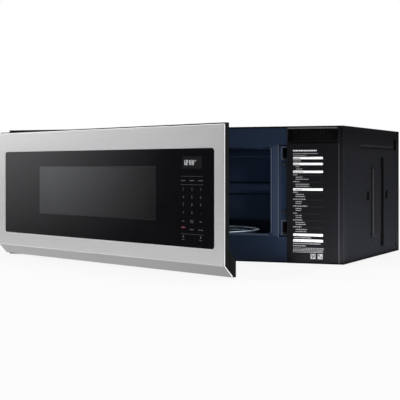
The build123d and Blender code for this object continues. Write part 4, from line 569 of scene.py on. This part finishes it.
def add_piece(name, vertices, faces, material, body):
    mesh = bpy.data.meshes.new(name)
    mesh.from_pydata(vertices, [], faces)
    mesh.materials.append(material)
    piece = bpy.data.objects.new(name, mesh)
    scene.collection.objects.link(piece)
    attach(piece, body)


def marks(name, rows, place, face_y, material, body):
    """One piece of thin printed rectangles (x0, x1, z0, z1), each with softly cut corners."""
    vertices, faces = [], []
    for x0, x1, z0, z1 in rows:
        cut = min(0.22 * (x1 - x0), 0.22 * (z1 - z0), 0.8)
        ring = [
            (x0 + cut, z0), (x1 - cut, z0), (x1, z0 + cut), (x1, z1 - cut),
            (x1 - cut, z1), (x0 + cut, z1), (x0, z1 - cut), (x0, z0 + cut),
        ]
        start = len(vertices)
        for y in (face_y - PRINT, face_y):
            vertices += [place(x, y, z) for x, z in ring]
        count = len(ring)
        faces.append([start + index for index in range(count)])
        for index in range(count):
            after = (index + 1) % count
            back = start + count
            faces.append([start + index, back + index, back + after, start + after])
    add_piece(name, vertices, faces, material, body)


def lettering(name, words, place, face_y, material, body):
    """One piece of generic figures: each is (text, x, z, height) about its middle."""
    vertices, faces = [], []
    for text, x, z, height in words:
        curve = bpy.data.curves.new("word", "FONT")
        curve.body = text
        curve.size = height / CAPITAL_SHARE
        curve.align_x = "CENTER"
        curve.align_y = "CENTER"
        curve.resolution_u = 4
        holder = bpy.data.objects.new("word", curve)
        scene.collection.objects.link(holder)
        mesh = bpy.data.meshes.new_from_object(holder)
        start = len(vertices)
        vertices += [place(x + v.co.x, face_y - PRINT, z + v.co.y) for v in mesh.vertices]
        faces += [[start + index for index in face.vertices] for face in mesh.polygons]
        bpy.data.objects.remove(holder)
        bpy.data.meshes.remove(mesh)
        bpy.data.curves.remove(curve)
    add_piece(name, vertices, faces, material, body)


WHITE_INK = ink("white_ink", (0.93, 0.93, 0.93))
GREY_INK = ink("grey_ink", (0.30, 0.30, 0.31))
DIM_INK = ink("dim_ink", (0.028, 0.028, 0.031))
KEY_INK = ink("key_ink", (0.080, 0.080, 0.086))
RED_INK = ink("red_ink", (0.20, 0.018, 0.04))
CLOCK_INK = ink("clock_light", (0.74, 0.76, 0.79), glow=1.0)
DISPLAY_INK = ink("display_window", (0.011, 0.011, 0.012), rough=0.12)

KEY_COLUMNS = (648.5, 672.5, 696.7)
KEY_ROWS = (150.0, 136.5, 123.4, 109.5)
DIGITS = ("123", "456", "789", "+0-")
FIGURE_HEIGHT = 5.0
NAMED_ROW = 94.7  # the row of keys with short names below the figures
DISPLAY = (646.0, 700.0, 186.0, 207.0)


def keypad():
    """Clock window, figures and generic marks of the touch keys."""
    left, right = KEY_COLUMNS[0] - 7.0, KEY_COLUMNS[2] + 7.0
    marks("display_window", [DISPLAY], door_point, GLASS_FACE, DISPLAY_INK, "door")
    marks("clock_figures", clock_time(), door_point, GLASS_FACE - PRINT, CLOCK_INK, "door")
    lines = [(left, right, z - 0.3, z + 0.3) for z in (172.6, 158.1, 72.6)]
    marks("key_lines", lines, door_point, GLASS_FACE, DIM_INK, "door")
    figures = []
    for row, digits in zip(KEY_ROWS, DIGITS):
        for x, digit in zip(KEY_COLUMNS, digits):
            figures.append((digit, x, row, FIGURE_HEIGHT))
    lettering("key_figures", figures, door_point, GLASS_FACE, KEY_INK, "door")
    bars = []
    for x in KEY_COLUMNS:
        bars += word(x - 6.5, x + 6.5, 165.2, 1.6)
    for x in KEY_COLUMNS[1:]:
        bars += word(x - 6.0, x + 6.0, 80.6, 1.6)
    for x in (KEY_COLUMNS[0], KEY_COLUMNS[2]):
        bars += [(x - 1.3, x + 1.3, 66.0, 70.0)] + word(x - 3.5, x + 3.5, 62.6, 1.2)
    for column, half, rise in ((0, 3, 0.0), (1, 5, 1.2), (1, 4, -1.7), (2, 3, 0.0)):
        x = KEY_COLUMNS[column]
        bars += word(x - half, x + half, NAMED_ROW + rise, 1.4)
    marks("key_words", bars, door_point, GLASS_FACE, KEY_INK, "door")
    stop = [(KEY_COLUMNS[0] - 5, KEY_COLUMNS[0] + 5, 82.6, 85.0)]
    marks("key_stop", stop, door_point, GLASS_FACE, RED_INK, "door")


# Strokes of the clock's figures: left, right, bottom and top as shares of a figure's box.
STROKES = {
    "1": [(0.5, 1.0, 0.0, 1.0), (0.0, 0.55, 0.82, 0.9)],
    "2": [(0.1, 0.9, 0.92, 1.0), (0.82, 1.0, 0.5, 0.94), (0.2, 0.85, 0.46, 0.54),
          (0.0, 0.18, 0.08, 0.5), (0.0, 1.0, 0.0, 0.08)],
    "0": [(0.0, 0.15, 0.12, 0.88), (0.85, 1.0, 0.12, 0.88), (0.2, 0.8, 0.93, 1.0),
          (0.2, 0.8, 0.0, 0.07)],
    ":": [(0.0, 1.0, 0.26, 0.34), (0.0, 1.0, 0.66, 0.74)],
}
# Width of a figure and the gap after it.
NARROW_FIGURES = {"1": (1.1, 2.5), ":": (0.4, 2.5)}
WIDE_FIGURE = (4.8, 2.6)
CLOCK_LEFT, CLOCK_FOOT, CLOCK_HEIGHT = 651.8, 192.2, 8.4


def clock_time():
    """Rows of marks for 12:00 and the two small dots of its morning sign."""
    rows, x, z, height = [], CLOCK_LEFT, CLOCK_FOOT, CLOCK_HEIGHT
    for figure in "12:00":
        wide, gap = NARROW_FIGURES.get(figure, WIDE_FIGURE)
        for x0, x1, z0, z1 in STROKES[figure]:
            rows.append((x + x0 * wide, x + x1 * wide, z + z0 * height, z + z1 * height))
        x += wide + gap
    for left in (x + 0.6, x + 2.4):
        rows.append((left, left + 0.9, z + height - 1.9, z + height - 0.6))
    return rows


def word(x0, x1, z, height):
    """A run of short dashes that stands for a printed word or line."""
    dashes, x = [], x0
    while x < x1 - 0.8:
        width = min(random.uniform(1.2, 3.6), x1 - x)
        dashes.append((x, x + width, z - height / 2, z + height / 2))
        x += width + random.uniform(0.5, 0.9)
    return dashes


# Guide printed on the control bay cover. Bars have a height and the length of their name,
# headings and small print a height and a length, lines a height, a left and a right end.
LABEL_X0, LABEL_X1 = 275.8, 336.8
BARS_Z = (206.2, 194.7, 179.4, 144.8, 55.9, 44.6)
BAR_NAMES = (15.0, 14.0, 21.0, 18.0, 12.0, 16.0)
HEADINGS = ((173.4, 9.0), (160.1, 13.0), (139.3, 10.0), (125.7, 27.0), (112.2, 29.0),
            (98.3, 8.0), (84.9, 20.0), (71.5, 18.0))
LINES = ((200.6, 0.0, 17.0), (189.2, 5.0, 13.0), (184.9, 6.0, 19.0), (168.9, 5.5, 20.0),
         (164.9, 5.5, 32.0), (155.0, 5.0, 33.0), (151.2, 5.5, 34.0), (135.0, 5.5, 22.0),
         (131.0, 5.0, 24.0), (121.0, 5.0, 18.0), (117.3, 5.0, 17.0), (107.4, 5.0, 18.0),
         (103.7, 5.5, 17.0), (93.8, 5.0, 19.0), (89.9, 5.5, 17.0), (80.1, 5.0, 24.0),
         (76.2, 5.5, 26.0), (66.4, 5.5, 30.0), (62.4, 5.0, 28.0), (50.2, 2.0, 37.0),
         (38.7, 0.0, 56.0), (34.4, 0.0, 26.0))
SMALL_PRINT = ((30.0, 63.0), (27.3, 63.5), (24.8, 62.0), (22.2, 63.0))


def label():
    """Guide printed on the cover, with bars and dashes in place of its words."""
    bars = [(LABEL_X0, LABEL_X1, z - 2.3, z + 2.3) for z in BARS_Z]
    marks("label_bars", bars, case_point, COVER_FACE, WHITE_INK, "housing")
    names = []
    for z, length in zip(BARS_Z, BAR_NAMES):
        names += word(LABEL_X0 + 1.2, LABEL_X0 + length, z - 0.5, 1.7)
    marks("label_bar_names", names, case_point, COVER_FACE - PRINT, DIM_INK, "housing")
    title = word(LABEL_X0, LABEL_X0 + 48.0, 220.8, 2.6)
    marks("label_title", title, case_point, COVER_FACE, WHITE_INK, "housing")
    dashes = word(LABEL_X0, LABEL_X0 + 52.0, 215.1, 1.5)
    dashes += word(LABEL_X0, LABEL_X0 + 27.0, 211.6, 1.5)
    for z, length in HEADINGS:
        dashes += word(LABEL_X0, LABEL_X0 + length, z, 1.9)
    for z, indent, end in LINES:
        dashes += word(LABEL_X0 + indent, LABEL_X0 + end, z, 1.7)
    for z, length in SMALL_PRINT:
        dashes += word(LABEL_X0, LABEL_X0 + length, z, 1.0)
    marks("label_text", dashes, case_point, COVER_FACE, GREY_INK, "housing")
    rules = [
        (LABEL_X0 + length + 3.0, LABEL_X1, z - 1.5, z - 1.1) for z, length in HEADINGS
    ]
    marks("label_rules", rules, case_point, COVER_FACE, DIM_INK, "housing")
    marks("label_squares", code_squares(), case_point, COVER_FACE, GREY_INK, "housing")


def code_squares():
    """Two small squares of random cells at the foot of the guide."""
    cells, size = [], 1.25
    for left in (LABEL_X1 - 25.0, LABEL_X1 - 10.6):
        for column in range(8):
            for row in range(8):
                border = column in (0, 7) or row in (0, 7)
                if border or random.random() < 0.55:
                    x, z = left + column * size, 9.4 + row * size
                    cells.append((x, x + size * 0.96, z, z + size * 0.96))
    return cells


DOOR_FACE = -472.0  # Y of the steel front with the door closed
DOOR_WIDE, DOOR_TOP = 759.0, 261.0
BEVEL_TOP, LIP_Z, LIP_DEPTH = 22.5, 3.4, 18.0
TRIM = 2.3  # width of the polished edge
TRIM_Y = 0.6  # depth at which it starts, past the door's rounded corner
GLASS_OPENING = (26.6, 734.1, 49.1, 221.4)
GLASS_CORNER = 8.0


def edge_trims():
    """Polished cut edge of the steel sheet at both ends of the door, down to the lip."""
    fall = BEVEL_TOP - LIP_Z
    length = math.hypot(LIP_DEPTH, fall)
    inner_z = BEVEL_TOP + (TRIM * length - fall * TRIM) / LIP_DEPTH
    ring = [
        (TRIM_Y, BEVEL_TOP), (LIP_DEPTH, LIP_Z),
        (LIP_DEPTH + TRIM * fall / length, LIP_Z + TRIM * LIP_DEPTH / length),
        (TRIM, inner_z), (TRIM, DOOR_TOP - 0.8), (TRIM_Y, DOOR_TOP - 0.8),
    ]
    for name, x, out in (("edge_trim_right", DOOR_WIDE, 1), ("edge_trim_left", 0.0, -1)):
        vertices = []
        for side in (x, x + out * PRINT):
            vertices += [door_point(side, DOOR_FACE + depth, z) for depth, z in ring]
        count = len(ring)
        faces = [list(range(count, 2 * count)), list(range(count))[::-1]]
        for index in range(count):
            after = (index + 1) % count
            faces.append([index, after, count + after, count + index])
        add_piece(name, vertices, faces, PAINTS["polished_edge"], "door")


def glass_corners():
    """Rounded corners of the opening in the steel, over the corners of the glass."""
    x0, x1, z0, z1 = GLASS_OPENING
    radius = GLASS_CORNER
    vertices, faces = [], []
    for x, z, right, up in ((x0, z0, 1, 1), (x1, z0, -1, 1), (x1, z1, -1, -1), (x0, z1, 1, -1)):
        ring = [(x, z)]
        for step in range(9):
            angle = math.pi / 2 * step / 8
            ring.append((x + right * radius * (1 - math.sin(angle)),
                         z + up * radius * (1 - math.cos(angle))))
        start = len(vertices)
        for y in (DOOR_FACE - PRINT, DOOR_FACE):
            vertices += [door_point(px, y, pz) for px, pz in ring]
        count = len(ring)
        faces.append([start + index for index in range(count)])
        for index in range(count):
            after = (index + 1) % count
            back = start + count
            faces.append([start + index, start + after, back + after, back + index])
    add_piece("glass_corners", vertices, faces, PAINTS["steel"], "door")


RECESS_BACK = -427.0  # Y of the air recess's slotted rear wall
SCREEN = (269.0, 367.4, 239.6, 263.4)
WIRE, WIRE_PITCH = 0.7, 1.2


def inlet_screen():
    """Fine dark mesh over the slots of the air recess, put there to give the recess an even
    painted shade: wires up and wires across.
    """
    x0, x1, z0, z1 = SCREEN
    up = [(x0 + step * WIRE_PITCH, x0 + step * WIRE_PITCH + WIRE, z0, z1)
          for step in range(int((x1 - x0) / WIRE_PITCH))]
    across = [(x0, x1, z0 + step * WIRE_PITCH, z0 + step * WIRE_PITCH + WIRE)
              for step in range(int((z1 - z0) / WIRE_PITCH))]
    marks("screen_wires_up", up, case_point, RECESS_BACK, PAINTS["screen"], "housing")
    marks("screen_wires_across", across, case_point, RECESS_BACK - PRINT, PAINTS["screen"],
          "housing")


random.seed(5)
inlet_screen()
edge_trims()
glass_corners()
keypad()
label()


# ------------------------------------------------------------------ studio
FLOOR_GLOW = 0.86  # share of plain white in what the camera sees of the floor
FLOOR_REACH, FLOOR_GAP = 9.0, 0.0006  # half its side, and how far it lies below the part
# Brightness of what reflections see in each direction.
LEFT_WALL, RIGHT_WALL, CEILING, GROUND = 1.02, 1.3, 1.0, 1.95
FRONT_CORNERS, DARK_SIDE = 0.55, 0.02
AMBIENT = 0.5  # even light on everything


def floor():
    """Pale floor that looks white to the camera, keeps the shadow and is clear to reflections."""
    mesh = bpy.data.meshes.new("floor")
    z = -HALF_H * MM - FLOOR_GAP
    reach = FLOOR_REACH
    corners = [(-reach, -reach, z), (reach, -reach, z), (reach, reach, z), (-reach, reach, z)]
    mesh.from_pydata(corners, [], [(0, 1, 2, 3)])
    plane = bpy.data.objects.new("floor", mesh)
    scene.collection.objects.link(plane)
    material = bpy.data.materials.new("floor_white")
    material.use_nodes = True
    tree = material.node_tree
    tree.nodes.clear()
    out = tree.nodes.new("ShaderNodeOutputMaterial")
    paint = tree.nodes.new("ShaderNodeBsdfDiffuse")
    paint.inputs["Color"].default_value = (0.86, 0.86, 0.86, 1)
    glow = tree.nodes.new("ShaderNodeEmission")
    glow.inputs["Color"].default_value = (1, 1, 1, 1)
    clear = tree.nodes.new("ShaderNodeBsdfTransparent")
    path = tree.nodes.new("ShaderNodeLightPath")
    seen = tree.nodes.new("ShaderNodeMath")
    seen.operation = "MULTIPLY"
    seen.inputs[1].default_value = FLOOR_GLOW
    lit = tree.nodes.new("ShaderNodeMixShader")
    mix = tree.nodes.new("ShaderNodeMixShader")
    tree.links.new(path.outputs["Is Camera Ray"], seen.inputs[0])
    tree.links.new(seen.outputs[0], lit.inputs["Fac"])
    tree.links.new(paint.outputs[0], lit.inputs[1])
    tree.links.new(glow.outputs[0], lit.inputs[2])
    tree.links.new(path.outputs["Is Glossy Ray"], mix.inputs["Fac"])
    tree.links.new(lit.outputs[0], mix.inputs[1])
    tree.links.new(clear.outputs[0], mix.inputs[2])
    tree.links.new(mix.outputs[0], out.inputs["Surface"])
    mesh.materials.append(material)


def world():
    """White surroundings; reflections see white sides, ceiling and floor round a dark front."""
    sky = bpy.data.worlds.new("studio")
    scene.world = sky
    sky.use_nodes = True
    tree = sky.node_tree
    tree.nodes.clear()

    def node(kind, **settings):
        made = tree.nodes.new(kind)
        for key, value in settings.items():
            setattr(made, key, value)
        return made

    def calc(operation, first, second):
        made = node("ShaderNodeMath", operation=operation)
        for index, value in enumerate((first, second)):
            if isinstance(value, bpy.types.NodeSocket):
                tree.links.new(value, made.inputs[index])
            else:
                made.inputs[index].default_value = value
        return made.outputs[0]

    def product(first, *others):
        for other in others:
            first = calc("MULTIPLY", first, other)
        return first

    def ramp(value, start, end, low, high, kind="SMOOTHSTEP"):
        """Goes from low to high while one axis of the direction goes from start to end."""
        made = node("ShaderNodeMapRange", interpolation_type=kind)
        tree.links.new(value, made.inputs["Value"])
        limits = {"From Min": start, "From Max": end, "To Min": low, "To Max": high}
        for key, number in limits.items():
            made.inputs[key].default_value = number
        return made.outputs["Result"]

    coords = node("ShaderNodeTexCoord")
    split = node("ShaderNodeSeparateXYZ")
    tree.links.new(coords.outputs["Generated"], split.inputs["Vector"])
    x, y, z = (split.outputs[axis] for axis in "XYZ")
    left = product(ramp(y, -0.18, -0.02, 0.0, LEFT_WALL), ramp(x, -0.2, 0.1, 1.0, 0.0),
                   ramp(z, -0.075, 0.03, 0.05, 1.0, "LINEAR"))
    right = ramp(x, 0.72, 0.94, 0.0, RIGHT_WALL)
    back_right = product(ramp(x, -0.9, -0.3, 1.0, 0.16), ramp(x, -0.2, 0.1, 1.0, 0.12))
    ceiling = product(ramp(z, 0.0, 0.08, 0.0, CEILING), ramp(y, -0.12, 0.02, 0.28, 3.1),
                      back_right)
    ground = product(ramp(z, -0.13, -0.075, GROUND, 0.0), ramp(z, -0.36, -0.14, 0.30, 1.0),
                     ramp(y, -0.65, -0.35, 0.55, 1.0), ramp(y, -0.12, 0.02, 0.72, 1.0),
                     back_right)
    glossy = calc("MAXIMUM", calc("MAXIMUM", left, right), calc("MAXIMUM", ceiling, ground))
    corners = product(ramp(y, -0.65, -0.35, FRONT_CORNERS, 0.0),
                      ramp(calc("ABSOLUTE", x, 0.0), 0.42, 0.7, 0.0, 1.0))
    glossy = calc("MAXIMUM", calc("MAXIMUM", glossy, corners), DARK_SIDE)
    path = node("ShaderNodeLightPath")
    straight = calc("MAXIMUM", path.outputs["Is Camera Ray"], path.outputs["Is Transmission Ray"])
    mirrored = calc("MULTIPLY", path.outputs["Is Glossy Ray"], glossy)
    direct = calc("MAXIMUM", straight, mirrored)
    other = calc("SUBTRACT", 1.0, calc("MAXIMUM", straight, path.outputs["Is Glossy Ray"]))
    strength = calc("ADD", direct, calc("MULTIPLY", other, AMBIENT))
    light = node("ShaderNodeBackground")
    light.inputs["Color"].default_value = (1, 1, 1, 1)
    tree.links.new(strength, light.inputs["Strength"])
    out = node("ShaderNodeOutputWorld")
    tree.links.new(light.outputs[0], out.inputs["Surface"])


def lamp(name, place, aim, size, watts):
    """Soft rectangular lamp of size (wide, deep) that reflections don't show."""
    data = bpy.data.lights.new(name, "AREA")
    data.shape = "RECTANGLE"
    data.size, data.size_y = size
    data.energy = watts
    holder = bpy.data.objects.new(name, data)
    scene.collection.objects.link(holder)
    holder.location = place
    holder.rotation_euler = (Vector(aim) - Vector(place)).to_track_quat("-Z", "Y").to_euler()
    holder.visible_camera = False
    holder.visible_glossy = False


# Name, place, aim, size and watts. The two low ones light the dark panels from the floor up.
LAMPS = (
    ("key", (-2.6, -2.2, 2.1), (0.0, -0.4, 0.0), (2.0, 2.0), 44.0),
    ("fill", (2.2, -2.6, 1.6), (0.2, -0.3, 0.0), (1.8, 1.8), 18.0),
    ("top", (0.0, 0.4, 2.6), (0.0, -0.3, 0.0), (2.0, 2.0), 24.0),
    ("low_front", (0.42, -0.555, -0.133), (0.42, -0.555, 1.0), (0.28, 0.22), 1.1),
    ("low_right", (0.495, -0.22, -0.133), (0.495, -0.22, 1.0), (0.22, 0.60), 2.4),
    ("cavity", (0.19, -0.36, 0.085), (-0.05, -0.15, -0.08), (0.05, 0.03), 0.5),
)


def camera():
    """The photograph's camera, fitted to the straight edges of the case and the door."""
    data = bpy.data.cameras.new("camera")
    data.sensor_width = 36.0
    data.lens = 105.7
    data.shift_y = -0.081
    data.clip_end = 60.0
    holder = bpy.data.objects.new("camera", data)
    scene.collection.objects.link(holder)
    holder.location = (1.0254, -2.6303, 0.0531)
    holder.rotation_euler = (math.pi / 2, 0.0, 0.409)
    scene.camera = holder


floor()
world()
for row in LAMPS:
    lamp(*row)
camera()
scene.view_settings.view_transform = "Standard"
